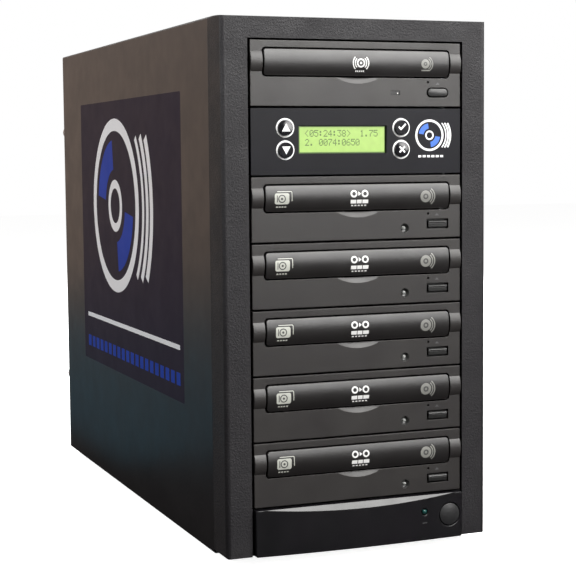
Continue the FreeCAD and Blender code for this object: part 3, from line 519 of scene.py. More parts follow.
def printed(name, outlines, origin, place, material, body, slices=False, depth=print_depth):
    """Thin printed shapes, from outlines in millimetres about an origin.

    place turns an outline's two coordinates into a point on what carries it.
    """
    bm = bmesh.new()
    for outline in outlines:
        bm.faces.new([bm.verts.new((u, 0, v)) for u, v in scaled(outline, *origin)])
    bmesh.ops.remove_doubles(bm, verts=bm.verts, dist=1e-7)
    if slices:
        low = min(vertex.co.z for vertex in bm.verts)
        high = max(vertex.co.z for vertex in bm.verts)
        for k in range(1, int((high - low) / print_slice) + 1):
            bmesh.ops.bisect_plane(bm, geom=bm.verts[:] + bm.edges[:] + bm.faces[:], dist=1e-8,
                                   plane_co=(0, 0, low + k * print_slice), plane_no=(0, 0, 1))
    bmesh.ops.triangulate(bm, faces=bm.faces)
    for vertex in bm.verts:
        vertex.co = place(vertex.co.x, vertex.co.z)
    outward = place(0, 0, 1) - place(0, 0, 0)
    for face in bm.faces:
        face.normal_update()
        if face.normal.dot(outward) < 0:
            face.normal_flip()
    mesh = bpy.data.meshes.new(name)
    bm.to_mesh(mesh)
    bm.free()
    obj = add_object(name, mesh, material, body)
    solid = obj.modifiers.new("thickness", "SOLIDIFY")
    solid.thickness = depth
    solid.offset = 1
    return obj


def on_front(front, lift=0.0):
    """For printed: x and z on a face that looks to the viewer, whose y comes from front(x, z)."""
    return lambda x, z, out=0: Vector((x, front(x, z) - lift - out * MM, z))


def on_flat(y, lift=print_lift):
    return on_front(lambda x, z: y, lift)


# Materials
def new_material(name):
    material = bpy.data.materials.new(name)
    material.use_nodes = True
    tree = material.node_tree
    return material, tree.nodes, tree.links, tree.nodes["Principled BSDF"]


def set_inputs(node, values):
    for name, value in values.items():
        node.inputs[name].default_value = value


def noise(nodes, links, scale, detail=3.0, roughness=0.5, stretch=(1, 1, 1)):
    place = nodes.new("ShaderNodeTexCoord")
    mapping = nodes.new("ShaderNodeMapping")
    mapping.inputs["Scale"].default_value = stretch
    texture = nodes.new("ShaderNodeTexNoise")
    set_inputs(texture, {"Scale": scale, "Detail": detail, "Roughness": roughness})
    links.new(place.outputs["Object"], mapping.inputs["Vector"])
    links.new(mapping.outputs["Vector"], texture.inputs["Vector"])
    return texture.outputs["Fac"]


def ramp(nodes, links, value, low, high, start=0.3, end=0.7):
    made = nodes.new("ShaderNodeValToRGB")
    made.color_ramp.elements[0].position = start
    made.color_ramp.elements[1].position = end
    made.color_ramp.elements[0].color = (*low, 1) if isinstance(low, tuple) else (low, low, low, 1)
    made.color_ramp.elements[1].color = (*high, 1) if isinstance(high, tuple) else (high, high, high, 1)
    links.new(value, made.inputs["Fac"])
    return made.outputs["Color"]


def bump(nodes, links, shader, value, distance):
    made = nodes.new("ShaderNodeBump")
    set_inputs(made, {"Strength": 1.0, "Distance": distance})
    links.new(value, made.inputs["Height"])
    links.new(made.outputs["Normal"], shader.inputs["Normal"])


def textured(name, dark, light, rough_low, rough_high, grain_scale, grain_depth, metallic=0.0,
             stretch=(1, 1, 1), patch_scale=35.0, grain_detail=3.0, specular=0.5):
    """Mottled colour, uneven gloss and a fine grain, each from its own noise."""
    material, nodes, links, shader = new_material(name)
    patches = noise(nodes, links, patch_scale, 4.0)
    links.new(ramp(nodes, links, patches, dark, light), shader.inputs["Base Color"])
    smudges = noise(nodes, links, patch_scale * 1.7, 3.0)
    links.new(ramp(nodes, links, smudges, rough_low, rough_high), shader.inputs["Roughness"])
    grain = noise(nodes, links, grain_scale, grain_detail, 0.6, stretch)
    bump(nodes, links, shader, grain, grain_depth)
    set_inputs(shader, {"Metallic": metallic, "Specular IOR Level": specular})
    return material


def lens(name, colour, roughness, transmission=0.0, glow=None, glow_strength=0.0):
    """Clear or tinted moulding with faint waves in its surface."""
    material, nodes, links, shader = new_material(name)
    waves = noise(nodes, links, 260, 2.0)
    links.new(ramp(nodes, links, waves, tuple(c * 0.85 for c in colour), colour), shader.inputs["Base Color"])
    bump(nodes, links, shader, waves, 0.000004)
    set_inputs(shader, {"Roughness": roughness, "Transmission Weight": transmission})
    if glow:
        glowing = ramp(nodes, links, waves, tuple(c * 0.97 for c in glow), glow)
        links.new(glowing, shader.inputs["Emission Color"])
        shader.inputs["Emission Strength"].default_value = glow_strength
    return material


# Each line gives dark and light colour, least and greatest roughness, and the grain's scale and depth
frame_plastic = textured("frame_plastic", (0.011, 0.01, 0.012), (0.017, 0.016, 0.018), 0.5, 0.64,
                         800, 0.00035, specular=0.34, grain_detail=5.0)
bezel_plastic = textured("bezel_plastic", (0.018, 0.016, 0.016), (0.023, 0.021, 0.02), 0.42, 0.5,
                         2600, 0.00002)
door_plastic = textured("door_plastic", (0.01, 0.009, 0.009), (0.013, 0.012, 0.012), 0.36, 0.42,
                        2600, 0.000008)
panel_plastic = textured("panel_plastic", (0.005, 0.005, 0.007), (0.007, 0.007, 0.01), 0.38, 0.44,
                         1500, 0.000005, specular=0.17)
lower_plastic = textured("lower_plastic", (0.004, 0.004, 0.005), (0.006, 0.005, 0.007), 0.3, 0.36,
                         1900, 0.000012)
dome_plastic = textured("dome_plastic", (0.015, 0.015, 0.016), (0.02, 0.02, 0.021), 0.42, 0.5, 1900, 0.00001)
button_plastic = textured("button_plastic", (0.009, 0.009, 0.009), (0.012, 0.012, 0.012), 0.3, 0.38,
                          2000, 0.000005)
side_paint = textured("side_paint", (0.012, 0.011, 0.012), (0.015, 0.014, 0.015), 0.36, 0.42, 240, 0.00001)
top_paint = textured("top_paint", (0.012, 0.011, 0.012), (0.014, 0.013, 0.014), 0.6, 0.63, 240, 0.00001,
                     specular=0.12)
zinc_steel = textured("zinc_steel", (0.56, 0.57, 0.58), (0.66, 0.67, 0.68), 0.48, 0.58, 900, 0.00001, 0.75,
                      stretch=(1, 1, 0.04), patch_scale=22.0)
bright_screw = textured("bright_screw", (0.5, 0.5, 0.51), (0.66, 0.66, 0.67), 0.18, 0.3, 1500, 0.000008, 1.0)
rubber = textured("rubber", (0.012, 0.012, 0.012), (0.02, 0.02, 0.02), 0.75, 0.9, 900, 0.00004)
tray_plastic = textured("tray_plastic", (0.02, 0.02, 0.021), (0.027, 0.027, 0.028), 0.38, 0.48, 1800, 0.00001)
gear_plastic = textured("gear_plastic", (0.66, 0.64, 0.58), (0.76, 0.74, 0.68), 0.35, 0.45, 900, 0.00001)
board_green = textured("board_green", (0.008, 0.075, 0.03), (0.014, 0.11, 0.045), 0.25, 0.4, 300, 0.00003)
cable_grey = textured("cable_grey", (0.3, 0.3, 0.31), (0.4, 0.4, 0.41), 0.4, 0.5, 900, 0.00004,
                      stretch=(1, 0.02, 0.02))
fan_plastic = textured("fan_plastic", (0.012, 0.012, 0.013), (0.018, 0.018, 0.019), 0.35, 0.5, 1500, 0.00001)
chip_black = textured("chip_black", (0.015, 0.015, 0.016), (0.022, 0.022, 0.023), 0.5, 0.6, 1500, 0.00001)
key_gloss = textured("key_gloss", (0.008, 0.008, 0.01), (0.011, 0.011, 0.013), 0.1, 0.16, 900, 0.000002)
ink_colours = {
    "white": ((0.66, 0.66, 0.65), (0.76, 0.76, 0.75)), "key": ((0.8, 0.8, 0.8), (0.88, 0.88, 0.88)),
    "pale": ((0.4, 0.41, 0.37), (0.5, 0.51, 0.46)), "grey": ((0.17, 0.17, 0.16), (0.24, 0.24, 0.22)),
    "dark": ((0.05, 0.05, 0.05), (0.07, 0.07, 0.068)), "faint": ((0.07, 0.07, 0.072), (0.09, 0.09, 0.093))}
inks = {kind: textured("print_" + kind, dark, light, 0.4, 0.5, 900, 0.000002)
        for kind, (dark, light) in ink_colours.items()}
print_blue = textured("print_blue", (0.03, 0.12, 0.5), (0.04, 0.15, 0.6), 0.35, 0.45, 900, 0.000002)
side_navy = textured("side_navy", (0.018, 0.013, 0.027), (0.023, 0.017, 0.033), 0.5, 0.56, 500, 0.000004,
                     specular=0.1)
side_white = textured("side_white", (0.92, 0.92, 0.94), (0.96, 0.96, 0.98), 0.35, 0.45, 500, 0.000003)
side_blue = textured("side_blue", (0.012, 0.045, 0.34), (0.016, 0.055, 0.4), 0.5, 0.56, 500, 0.000003,
                     specular=0.1)
seat_plastic = textured("seat_plastic", (0.03, 0.03, 0.03), (0.045, 0.045, 0.044), 0.16, 0.22, 900, 0.000002)
clear_lens = lens("clear_lens", (0.6, 0.62, 0.6), 0.05, 0.5)
smoke_lens = lens("smoke_lens", (0.035, 0.035, 0.035), 0.14)
teal_lens = lens("teal_lens", (0.01, 0.06, 0.055), 0.08)
screen_glow = lens("screen_glow", (0.16, 0.24, 0.06), 0.3, 0.0, (0.352, 0.539, 0.13), 0.82)
screen_dots = lens("screen_dots", (0.06, 0.11, 0.03), 0.3, 0.0, (0.11, 0.2, 0.03), 0.5)
spot_glow = lens("spot_glow", (0.7, 0.7, 0.66), 0.2)

node_materials = [
    (zinc_steel, "chassis_base chassis_top chassis_front chassis_back bay_cage supply_case"),
    (top_paint, "top_cover"), (side_paint, "left_panel right_panel"),
    (bright_screw, "thumbscrews_left thumbscrews_right"), (rubber, "feet"), (frame_plastic, "front_frame"),
    (lower_plastic, "lower_panel"), (button_plastic, "power_button supply_switch mains_inlet"),
    (chip_black, "power_lamp drive_lamps control_display"), (gear_plastic, "reader_loader_pinion"),
    (panel_plastic, "control_panel"), (board_green, "control_board"), (cable_grey, "data_cables"),
    (fan_plastic, "case_fan_frame case_fan_rotor"),
    (key_gloss, "button_up button_down button_enter button_cancel")]
for ending, material in (("_bezel", bezel_plastic), ("_shell", zinc_steel), ("_tray", tray_plastic),
                         ("_door", door_plastic), ("_eject_button", button_plastic)):
    node_materials += [(material, name + ending) for name in names]
for material, nodes in node_materials:
    for node in nodes.split():
        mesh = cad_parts[node].data
        mesh.materials.clear()
        mesh.materials.append(material)
soften_node("front_frame", frame_round).modifiers["edges"].use_clamp_overlap = True
soften_node("reader_eject_button", pill_round, 3)
for node in ("control_panel", "button_up", "button_down", "button_enter", "button_cancel", "top_cover",
             "mains_inlet", "supply_switch", "case_fan_frame"):
    soften_node(node, node_round)


# Drive fronts
def band_front(floor, bottom=None, top=None):
    """The face's place along Y over a drive's rounded band, for any height."""
    low = floor + (bottom or band_low)
    high = floor + (top or band_high)
    half = (high - low) / 2
    radius = (half ** 2 + band_bulge ** 2) / (2 * band_bulge)

    def front(x, z):
        off = abs(z - (low + high) / 2)
        if off >= half:
            return face_y
        return face_y - band_bulge + radius - sqrt(radius ** 2 - off ** 2)
    return front


door_low, door_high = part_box("burner_1_door")
door_bottom = door_low.z - floors["burner_1"]
door_top = door_high.z - floors["burner_1"]
band_low = door_bottom + band_rise
band_high = door_top - band_top_drop


def door_front(name):
    """A door is rounded over nearly its whole height, a little more than the band beside it."""
    return band_front(floors[name], door_bottom + door_round_drop, door_top + door_round_rise)


def make_door(name):
    low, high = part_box(name + "_door")
    mesh = rounded_plate(low.x + door_inset, high.x - door_inset,
                         low.z + door_inset, high.z - door_inset, door_corner, door_edge,
                         door_front(name), high.y, door_rows, door_columns)
    obj = add_object(name + "_door_cover", mesh, door_plastic, name + "_tray_unit")
    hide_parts(name + "_door")


def bezel_mesh(name, is_reader):
    """A drive's moulded front at its own bay."""
    floor = floors[name]
    low = floor + bay_gap / 2
    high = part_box(name + "_bezel")[1].z
    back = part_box(name + "_bezel")[1].y
    front = band_front(floor)
    heights = [floor + band_low + (band_high - band_low) * k / band_facets for k in range(band_facets + 1)]
    band = [(front(0, z), z) for z in heights]
    profile = [(back, low), (face_y, low)] + band + [(face_y, high), (back, high)]
    body = prism_mesh([(-bezel_half, y, z) for y, z in profile], (2 * bezel_half, 0, 0),
                      smooth_below)
    hollow = box_mesh((-bezel_half + bezel_rim, face_y + bezel_wall, low + bezel_rim),
                      (bezel_half - bezel_rim, back + overrun, high - bezel_rim))
    door_low, door_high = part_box(name + "_door")
    slot_low = door_low.z - slot_gap
    slot = through_front(rounded_rectangle(door_low.x - slot_gap, door_high.x + slot_gap, slot_low,
                                           door_high.z + slot_gap, slot_corner))
    radius = (scoop_half ** 2 + scoop_drop ** 2) / (2 * scoop_drop)
    centre = slot_low - scoop_drop + radius
    top = slot_low + slot_gap

    def segment(y, size):
        reach = degrees(acos((centre - top) / size))
        return [(x, y, z) for x, z in arc(0, centre, size, -90 - reach, -90 + reach, 40)]
    scoop = loft_mesh(segment(face_y - overrun, radius + overrun * scoop_drop / scoop_depth),
                      segment(face_y + scoop_depth, radius - scoop_drop))
    x0, x1, z0, z1 = (value * MM for value in eject_hole)
    if is_reader:
        corner = (z1 - z0) / 2 * pill_share
        eject = through_front(rounded_rectangle(x0, x1, floor + z0, floor + z1, corner, 10))
        x0, x1, z0, z1 = (value * MM for value in reader_window)
        lamp = through_front(rounded_rectangle(x0, x1, floor + z0, floor + z1, window_corner, 3))
    else:
        x, z = burner_lamp
        eject = through_front(rounded_rectangle(x0, x1, floor + z0, floor + z1, eject_corner, 4))
        lamp = through_front(disc(x * MM, floor + z * MM, burner_lamp_radius))
    hole = through_front(disc(pinhole[0] * MM, floor + pinhole[1] * MM, pinhole_radius, 20))
    return carve(body, [hollow, slot, scoop, eject, lamp, hole], bezel_edge, fine_edge, angle=crisp_above)


def add_bezel(name, mesh):
    obj = even_shading(add_object(name + "_bezel_front", mesh, bezel_plastic, "case"))
    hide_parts(name + "_bezel")


def burner_eject_mesh(floor):
    """Eject button with a sloping lip along its top and a groove under it, on a wider flange."""
    x0, x1, z0, z1 = eject_hole
    centre = floor + (z0 + z1) / 2 * MM
    start = (x0 + bar_side_gap) * MM
    cap = prism_mesh([(start, face_y + y * MM, centre + z * MM) for y, z in bar_section],
                     ((x1 - x0 - 2 * bar_side_gap) * MM, 0, 0))
    flange = box_mesh(((x0 - flange_lap) * MM, face_y + flange_front * MM, centre - flange_half * MM),
                      ((x1 + flange_lap) * MM, face_y + flange_back * MM, centre + flange_half * MM))
    return joined([cap, flange])


# Printed marks on the doors, as outlines in millimetres
reader_marks = {
    "white": [*ring(1.5, 28.3, 2.9, 1.9, 24), disc(1.5, 28.3, 0.8, 16)]
             + [sector(1.5, 28.3, reach, reach - 0.7, start, start + 90, 16)
                for reach in (4.3, 5.8) for start in (-45, 135)]
             + [rectangle(x, x + 0.8, 22.6, 23.5) for x in (-2.2, -0.9, 0.4, 1.7, 3.0)],
    "grey": [disc(47.5, 28.3, 3.0, 32), sector(47.5, 28.3, 4.3, 3.7, -55, 55, 14),
             sector(47.5, 28.3, 5.6, 5.0, -55, 55, 14), rectangle(44.8, 51.0, 23.7, 24.5)],
    "dark": ring(47.5, 28.3, 1.3, 0.6, 16)}
burner_marks = {
    "pale": [rounded_rectangle(-58.6, -48.7, 24.7, 31.7, 1.3),
             rectangle(-56.8, -47.6, 32.5, 33.0), rectangle(-47.1, -46.6, 26.6, 32.0),
             sector(-47.6, 32.0, 1.0, 0.5, 0, 90, 6)]
            + [rectangle(x, x + 1.3, 22.6, 23.4) for x in (-57.6, -55.7, -53.8, -51.9)],
    "dark": ring(-53.7, 28.2, 2.6, 1.9, 24)
            + [disc(-53.7, 28.2, 0.8, 16), rectangle(-57.2, -56.6, 26.0, 30.4)],
    "white": [*ring(-3.9, 30.6, 2.4, 1.3, 20), [(-0.8, 29.2), (1.2, 30.6), (-0.8, 32.0)],
              *ring(3.9, 30.6, 2.4, 1.3, 20), rectangle(-6.2, -2.3, 24.3, 26.7),
              rectangle(-1.8, 1.6, 24.3, 26.7), rectangle(2.1, 6.2, 24.3, 26.7)]
             + [rectangle(x, x + 1.4, 22.6, 23.4) for x in (-5.6, -3.3, -1.0, 1.3, 3.6)],
    "grey": [disc(47.6, 28.0, 3.9, 32), sector(47.6, 28.0, 5.4, 4.6, -50, 50, 14),
             sector(47.6, 28.0, 6.9, 6.1, -50, 50, 14)],
    "faint": ring(47.6, 28.0, 1.9, 0.9, 16)}
mark_inks = {"faint": "dark"}
mark_layers = {"dark": 2, "faint": 2}


def make_marks(name, marks):
    """Printed marks on a door, which follow its rounded band."""
    front = door_front(name)
    for kind, outlines in marks.items():
        lift = print_lift * mark_layers.get(kind, 1)
        printed(f"{name}_mark_{kind}", outlines, (0, floors[name]), on_front(front, lift),
                inks[mark_inks.get(kind, kind)], name + "_tray_unit", slices=True)


def make_eject_mark(name, x, z):
    """A small arrowhead over an eject button."""
    outline = [(x - 1.5, z - 0.7), (x + 1.5, z - 0.7), (x, z + 0.9)]
    printed(name + "_eject_mark", [outline], (0, floors[name]), on_flat(face_y), inks["faint"], "case")


burner_bezel = bezel_mesh("burner_1", False)
burner_eject = burner_eject_mesh(floors["burner_1"])
for name in names:
    make_door(name)
    if name == "reader":
        add_bezel(name, bezel_mesh(name, True))
        make_marks(name, reader_marks)
        make_eject_mark(name, *reader_eject_mark)
        continue
    rise = Matrix.Translation((0, 0, floors[name] - floors["burner_1"]))
    front_mesh = burner_bezel.copy()
    front_mesh.transform(rise)
    add_bezel(name, front_mesh)
    button_mesh = burner_eject.copy()
    button_mesh.transform(rise)
    button = add_object(name + "_eject_bar", button_mesh, button_plastic, name + "_eject")
    soften(button, bar_edge)
    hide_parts(name + "_eject_button")
    make_marks(name, burner_marks)
    make_eject_mark(name, *burner_eject_mark)
    x, z = burner_lamp[0] * MM, floors[name] + burner_lamp[1] * MM
    dome = dome_profile(lens_radius, lens_rise, face_y + lens_set_back, lens_rim, face_y + lens_back)
    add_object(name + "_lens", lathe_mesh(x, z, dome, small_round), clear_lens, "case")
    seat = lathe_mesh(x, z, turned(face_y, lens_seat), small_round)
    add_object(name + "_lens_seat", seat, seat_plastic, "case")


# Control panel
def make_keys():
    """Printed rings round the four keys and plain signs on them."""
    up = [(-2.9, -2.3), (2.9, -2.3), (0, 2.7)]
    down = [(2.9, 2.3), (-2.9, 2.3), (0, -2.7)]
    tick = [(-2.9, 0.2), (-2.1, 1.0), (-0.9, -0.2), (2.1, 2.8), (2.9, 2.0), (-0.9, -1.8)]
    cross = []
    for turn in range(4):
        angle = radians(45 + 90 * turn)
        for u, v in ((cross_reach, -cross_half), (cross_reach, cross_half), (cross_half, cross_half)):
            cross.append((u * cos(angle) - v * sin(angle),
                          u * sin(angle) + v * cos(angle)))
    glyphs = {"up": (up, 0, 0), "down": (down, 0, 1), "enter": (tick, 1, 0), "cancel": (cross, 1, 1)}
    for key, (glyph, column, row) in glyphs.items():
        node = "button_" + key
        centre = (key_columns[column] * MM, control_floor + key_rows[row] * MM)
        printed(node + "_ring", ring(0, 0, *key_ring, 40), centre, on_flat(face_y), inks["key"], "case")
        printed(node + "_glyph", [glyph], centre, on_flat(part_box(node)[0].y), inks["key"], node)


# Each character's seven rows of dots, top first, with five dots to a row as the bits of a number
dot_rows = {"0": (14, 17, 19, 21, 25, 17, 14), "1": (4, 12, 4, 4, 4, 4, 14), "2": (14, 17, 1, 2, 4, 8, 31),
            "3": (31, 2, 4, 2, 1, 17, 14), "4": (2, 6, 10, 18, 31, 2, 2), "5": (31, 16, 30, 1, 1, 17, 14),
            "6": (6, 8, 16, 30, 17, 17, 14), "7": (31, 1, 2, 4, 8, 8, 8), "8": (14, 17, 17, 14, 17, 17, 14),
            ":": (0, 12, 12, 0, 12, 12, 0), ".": (0, 0, 0, 0, 0, 12, 12),
            "<": (2, 4, 8, 16, 8, 4, 2), ">": (8, 4, 2, 1, 2, 4, 8), " ": (0, 0, 0, 0, 0, 0, 0)}


def make_screen():
    """Lit display with two lines of dots behind the panel's window, framed by a dark green strip of painted
    shade from the window's edge.
    """
    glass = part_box("control_display")[0].y
    # The first sheet is painted shade: a dark green strip round the lit sheet where the window's edge shades
    # the screen
    for name, place, lift, material in (("screen_painted_shade", screen_painted_shade_place, 1, screen_dots),
                                        ("screen_sheet", screen_sheet_place, 2, screen_glow)):
        printed(name, [rectangle(*place)], (0, control_floor), on_flat(glass, lift * print_lift), material,
                "case")
    dots = []
    for line, top in screen_lines:
        for place, character in enumerate(line):
            for row, bits in enumerate(dot_rows[character]):
                for column in range(5):
                    if bits >> (4 - column) & 1:
                        x = line_start + place * character_pitch + column * dot_width
                        z = top - row * dot_height
                        dots.append(rectangle(x, x + dot_width, z - dot_height, z))
    printed("screen_dots", dots, (0, control_floor), on_flat(glass, 3 * print_lift), screen_dots, "case")


def disc_motif(x, z, size):
    """A plain picture of discs one behind the other, as (white outlines, blue outlines)."""
    white = (ring(x, z, size * motif_rim[0], size * motif_rim[1], 48)
             + ring(x, z, size * motif_hub[0], size * motif_hub[1], 32))
    for k in (1, 2, 3):
        reach = echo_reach[0] - echo_reach[1] * k
        white.append(sector(x, z, size * (echo_outer[0] + echo_outer[1] * k),
                            size * (echo_inner[0] + echo_inner[1] * k), -reach, reach, 28))
    blue = [sector(x, z, size * motif_wedge[0], size * motif_wedge[1], start, start + 74, 24)
            for start in (98, 278)]
    return white, blue


make_keys()
make_screen()
white, blue = disc_motif(*panel_motif)
for kind, outlines, material in (("white", white, inks["key"]), ("blue", blue, print_blue)):
    printed("panel_motif_" + kind, outlines, (0, control_floor), on_flat(face_y), material, "case")
printed("panel_motif_row", [rectangle(x, x + panel_row_width, panel_row_low, panel_row_high)
                            for x in panel_row], (0, control_floor), on_flat(face_y), inks["key"], "case")


# Reader's lamp
def make_reader_lamp():
    x0, x1, z0, z1 = (value * MM for value in reader_window)
    floor = floors["reader"]
    glass = face_y + window_set_back
    points = [(x, glass, z) for x, z in
              rounded_rectangle(x0 + window_gap, x1 - window_gap, floor + z0 + window_gap,
                                floor + z1 - window_gap, window_corner, 3)]
    window = add_object("reader_lamp_window", prism_mesh(points, (0, window_depth, 0)),
                        smoke_lens, "case")
    soften(window, window_edge)
    printed("reader_lamp_spot", [disc(*lamp_spot, 20)], (0, floor), on_flat(glass), spot_glow, "case")


make_reader_lamp()


# Lower panel, power button and lamp
def make_lower_panel():
    """Bowed cover with a sloping ledge along its top, whose front edge makes a crescent."""
    low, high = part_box("lower_panel")
    front = low.y + panel_bow
    radius = (bezel_half ** 2 + panel_bow ** 2) / (2 * panel_bow)
    bowed = [(x, low.y + radius - sqrt(radius ** 2 - x ** 2)) for x in
             (bezel_half * (k / 32 - 1) for k in range(65))]
    outline = [(x, y, low.z) for x, y in bowed + [(bezel_half, high.y), (-bezel_half, high.y)]]
    body = prism_mesh(outline, (0, 0, high.z - low.z))
    rounded = through_front(rounded_rectangle(-bezel_half, bezel_half, low.z, high.z + bow_room,
                                              panel_corner))
    start = front - ledge_set_back
    tip = start - ledge_reach
    over = high.z + ledge_over
    ledge = prism_mesh([(-ledge_half, y, z) for y, z in (
        (start, high.z), (tip, high.z - ledge_slope * ledge_reach), (tip, over), (start, over))],
        (2 * ledge_half, 0, 0))
    bore = through_front(disc(*middle_of(*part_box("power_button")), button_bore, 64))
    lamp = through_front(disc(*middle_of(*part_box("power_lamp")), lamp_bore))
    mesh = carve(body, [ledge, bore, lamp], edge=panel_edge, shared=[rounded], angle=20, edge_angle=70)
    obj = add_object("lower_panel_cover", mesh, lower_plastic, "case")
    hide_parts("lower_panel")


make_lower_panel()


def make_power_parts():
    """Domed power button on its stem, and the lamp's bulb in its seat."""
    low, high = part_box("power_button")
    x, z = middle_of(low, high)
    cap_back = face_y + cap_set_back
    cap = lathe_mesh(x, z, dome_profile(cap_radius, cap_rise, low.y - cap_rise, cap_rim, cap_back), 64)
    stem = box_mesh((x - stem_half, cap_back, z - stem_half), (x + stem_half, high.y, z + stem_half))
    head = box_mesh((x - stem_head_half, high.y - stem_head_depth, z - stem_head_half),
                    (x + stem_head_half, high.y, z + stem_head_half))
    button = add_object("power_button_dome", joined([cap, stem, head]), dome_plastic, "power_button")
    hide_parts("power_button")
    low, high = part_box("power_lamp")
    x, z = middle_of(low, high)
    body = box_mesh((x - lamp_half, low.y + lamp_set_back, z - lamp_half),
                    (x + lamp_half, high.y, z + lamp_half))
    bulb = lathe_mesh(x, z, dome_profile(bulb_radius, bulb_rise, low.y - bulb_proud, bulb_rim,
                                         low.y + bulb_set_back), small_round)
    lamp = add_object("power_lamp_bulb", joined([body, bulb]), teal_lens, "case")
    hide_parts("power_lamp")
    seat = lathe_mesh(x, z, turned(low.y, lamp_seat), small_round)
    add_object("power_lamp_seat", seat, seat_plastic, "case")
    printed("power_mark", [rectangle(*power_mark)], (x, z), on_flat(low.y, power_mark_lift), inks["faint"],
            "case")


make_power_parts()


# Side covers with their folds, and what is printed on the left one
def make_cover(side, node):
    """Sheet cover with rounded folds at its top, bottom and back."""
    low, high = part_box(node)
    sheet = cover_sheet

    def outline(reach, bottom, top, radius):
        return ([(cover_lip, bottom)] + arc(reach - radius, bottom + radius, radius, -90, 0, 6)
                + arc(reach - radius, top - radius, radius, 0, 90, 6) + [(cover_lip, top)])
    outside = outline(cover_outer, low.z, high.z, cover_fold)
    inside = outline(cover_outer - sheet, low.z + sheet, high.z - sheet, cover_fold - sheet)
    skin = prism_mesh([(side * x, low.y, z) for x, z in outside + inside[::-1]],
                      (0, high.y - low.y, 0), smooth_below)
    back = prism_mesh([(side * x, high.y - sheet, z) for x, z in outside], (0, sheet, 0),
                      smooth_below)
    obj = add_object(node + "_folded", carve(skin, [], union=[back], angle=25), side_paint,
                     node.split("_")[0] + "_cover")
    obj.data.materials.append(top_paint)
    for polygon in obj.data.polygons:
        polygon.material_index = int(polygon.normal.z > facing_up)
    soften(obj, cover_edge, angle=cover_edge_angle)
    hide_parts(node)


make_cover(-1, "left_panel")
make_cover(1, "right_panel")


def on_side(lift):
    """For printed: first coordinate to the right as seen from the left side, so towards the front."""
    return lambda u, v, out=0: Vector((-cover_outer - lift - out * MM, -u, v))


white, blue = disc_motif(*side_motif)
white.append(rectangle(*side_line))
for k in range(side_row_count):
    start = side_row_start + side_row_pitch * k
    blue.append(rectangle(start, start + side_row_width, side_row_low, side_row_high))
for kind, outlines, material, layer in (
        ("sheet", [rounded_rectangle(*side_sheet)], side_navy, 0),
        ("white", white, side_white, 1), ("blue", blue, side_blue, 1)):
    printed("side_print_" + kind, outlines, (0, 0), on_side(layer * side_print_step), material,
            "left_cover", depth=side_print_depth)


# Back: knobs, screws and the inlet's metal pins
def make_knobs(node):
    """One side's two thumbscrews, with knurled grips."""
    low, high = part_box(node)
    x = (low.x + high.x) / 2
    knobs = [lathe_mesh(x, z, turned(low.y, knob_steps), knob_round, knurl_count, knurl_cut)
             for z in (low.z + knob_inset, high.z - knob_inset)]
    obj = add_object(node + "_knurled", joined(knobs), bright_screw,
                     node.split("_")[1] + "_cover")
    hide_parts(node)


def screw_mesh(x, z, y):
    """Pan-head screw seen from behind, with a cross recess."""
    head = lathe_mesh(x, z, turned(y, screw_steps), screw_round)
    bars = [box_mesh((x - a * MM, y + recess_floor * MM, z - b * MM),
                     (x + a * MM, y + recess_end * MM, z + b * MM))
            for a, b in ((recess_reach, recess_half), (recess_half, recess_reach))]
    return carve(head, bars, angle=30)


def make_back_parts():
    """Screws of the power supply and the fan, and the inlet's three pins."""
    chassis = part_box("chassis_back")[1].y
    low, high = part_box("supply_case")
    places = [(side * supply_screw_x, z) for side in (-1, 1)
              for z in (low.z + supply_screw_inset, high.z - supply_screw_inset)]
    x, z = middle_of(*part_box("case_fan_frame"))
    places += [(x + a * fan_screw_offset, z + b * fan_screw_offset) for a in (-1, 1) for b in (-1, 1)]
    screws = [screw_mesh(*place, chassis - screw_sink) for place in places]
    add_object("back_screws", joined(screws, 30), bright_screw, "case")
    low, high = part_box("mains_inlet")
    x, z = middle_of(low, high)
    pins = [box_mesh((x + (a - pin_half) * MM, low.y + pin_start, z + (b - pin_half_height) * MM),
                     (x + (a + pin_half) * MM, low.y + pin_end, z + (b + pin_half_height) * MM))
            for a, b in pin_places]
    soften(add_object("inlet_pins", joined(pins), bright_screw, "case"), pin_edge)


make_knobs("thumbscrews_left")
make_knobs("thumbscrews_right")
make_back_parts()


# Trays: the raised ring round the place for a small disc
def make_tray_ring(name):
    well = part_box(name + "_tray")[1].z - well_depth
    middle_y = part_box(name + "_door")[1].y + disc_set_back
    outline = scaled(sector(0, 0, *disc_ring, 72), 0, middle_y)
    mesh = prism_mesh([(x, y, well - disc_ring_sink) for x, y in outline],
                      (0, 0, disc_ring_height))
    add_object(name + "_disc_ring", mesh, tray_plastic, name + "_tray_unit")


for name in names:
    make_tray_ring(name)


# Camera, light and floor
def make_camera():
    data = bpy.data.cameras.new("camera")
    camera = linked("camera", data)
    data.sensor_width = sensor_width
    data.lens = focal_pixels * sensor_width / frame_pixels
    forward = Vector((sin(camera_yaw) * cos(camera_pitch),
                      cos(camera_yaw) * cos(camera_pitch), -sin(camera_pitch)))
    level = Vector((cos(camera_yaw), -sin(camera_yaw), 0))
    upright = level.cross(forward)
    right = cos(camera_roll) * level + sin(camera_roll) * upright
    up = -sin(camera_roll) * level + cos(camera_roll) * upright
    rotation = Matrix((right, up, -forward)).transposed().to_4x4()
    camera.matrix_world = Matrix.Translation(camera_place) @ rotation
    bpy.context.scene.camera = camera


def area_light(name, place, target, width, height, power, colour=(1, 1, 1), spread=180):
    data = bpy.data.lights.new(name, "AREA")
    data.shape = "RECTANGLE"
    data.size = width
    data.size_y = height
    data.energy = power
    data.color = colour
    data.spread = radians(spread)
    light = linked(name, data)
    light.location = place
    light.visible_camera = False
    light.rotation_euler = (Vector(target) - Vector(place)).to_track_quat("-Z", "Y").to_euler()


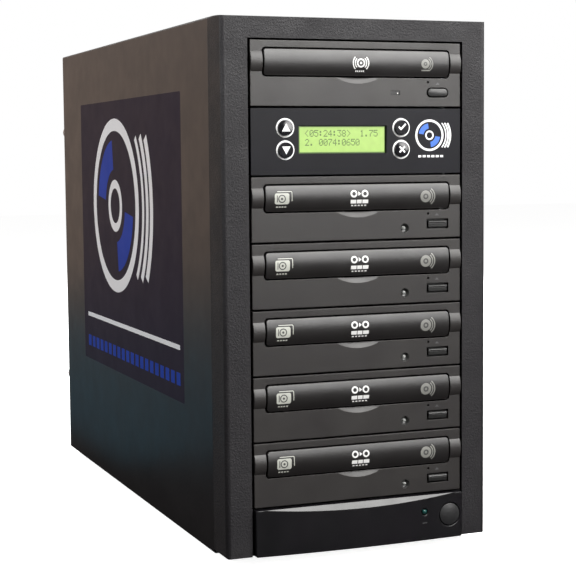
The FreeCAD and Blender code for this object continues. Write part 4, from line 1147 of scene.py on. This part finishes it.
def seen_and_lit(nodes, links, seen, lit):
    """One shader for what the camera sees directly and another for the light that it gives off."""
    path = nodes.new("ShaderNodeLightPath")
    mix = nodes.new("ShaderNodeMixShader")
    links.new(path.outputs["Is Camera Ray"], mix.inputs[0])
    links.new(lit, mix.inputs[1])
    links.new(seen, mix.inputs[2])
    return mix.outputs[0]


def make_floor():
    bm = bmesh.new()
    reach = floor_reach
    bm.faces.new([bm.verts.new((x, y, 0)) for x, y in rectangle(-reach, reach, -reach, reach)])
    mesh = mesh_of(bm)
    obj = linked("floor", mesh)
    paper = textured("floor_paper", (0.9, 0.9, 0.9), (0.93, 0.93, 0.93), 0.8, 0.9, 60, 0.0001)
    nodes, links = paper.node_tree.nodes, paper.node_tree.links
    shader = nodes["Principled BSDF"]
    set_inputs(shader, {"Emission Color": (1, 1, 1, 1), "Emission Strength": floor_glow})
    dim = nodes.new("ShaderNodeBsdfDiffuse")
    dim.inputs["Color"].default_value = floor_bounce
    links.new(seen_and_lit(nodes, links, shader.outputs[0], dim.outputs[0]),
              nodes["Material Output"].inputs["Surface"])
    mesh.materials.append(paper)


def make_world():
    world = bpy.data.worlds.new("studio")
    bpy.context.scene.world = world
    world.use_nodes = True
    nodes, links = world.node_tree.nodes, world.node_tree.links
    seen = nodes["Background"]
    seen.inputs["Color"].default_value = (1, 1, 1, 1)
    fill = nodes.new("ShaderNodeBackground")
    set_inputs(fill, {"Color": fill_colour, "Strength": fill_strength})
    links.new(seen_and_lit(nodes, links, seen.outputs[0], fill.outputs[0]),
              nodes["World Output"].inputs["Surface"])


make_camera()
make_floor()
make_world()
area_light("key", (0.45, -1.0, 1.1), (0, -0.2, 0.25), 1.0, 0.8, power=34, colour=(1, 0.99, 0.97))
area_light("front_low", (0.62, -1.6, 0.66), (0, -0.2, 0.5), 0.9, 0.5, power=2.5, colour=(1, 0.99, 0.98),
           spread=70)
area_light("left", (-1.3, -0.1, 1.0), (-0.09, 0, 0.2), 0.9, 0.9, power=12.5)
area_light("warm_card", (-0.56, 1.3, 0.42), (-0.1, 0, 0.3), 1.1, 0.8, power=1.45, colour=(1, 0.72, 0.56))
area_light("cool_card", (-0.42, 0.75, 0.004), (-0.42, 0.75, 1), 0.6, 1.3, power=0.4, colour=(0.2, 0.72, 1))
area_light("back_right", (0.9, 1.5, 1.1), (0, 0.1, 0.2), 1.3, 1.2, power=42)
area_light("back_left", (-0.9, 1.7, 1.5), (0, 0.2, 0.2), 1.0, 1.0, power=10)
bpy.context.scene.view_settings.view_transform = "Standard"
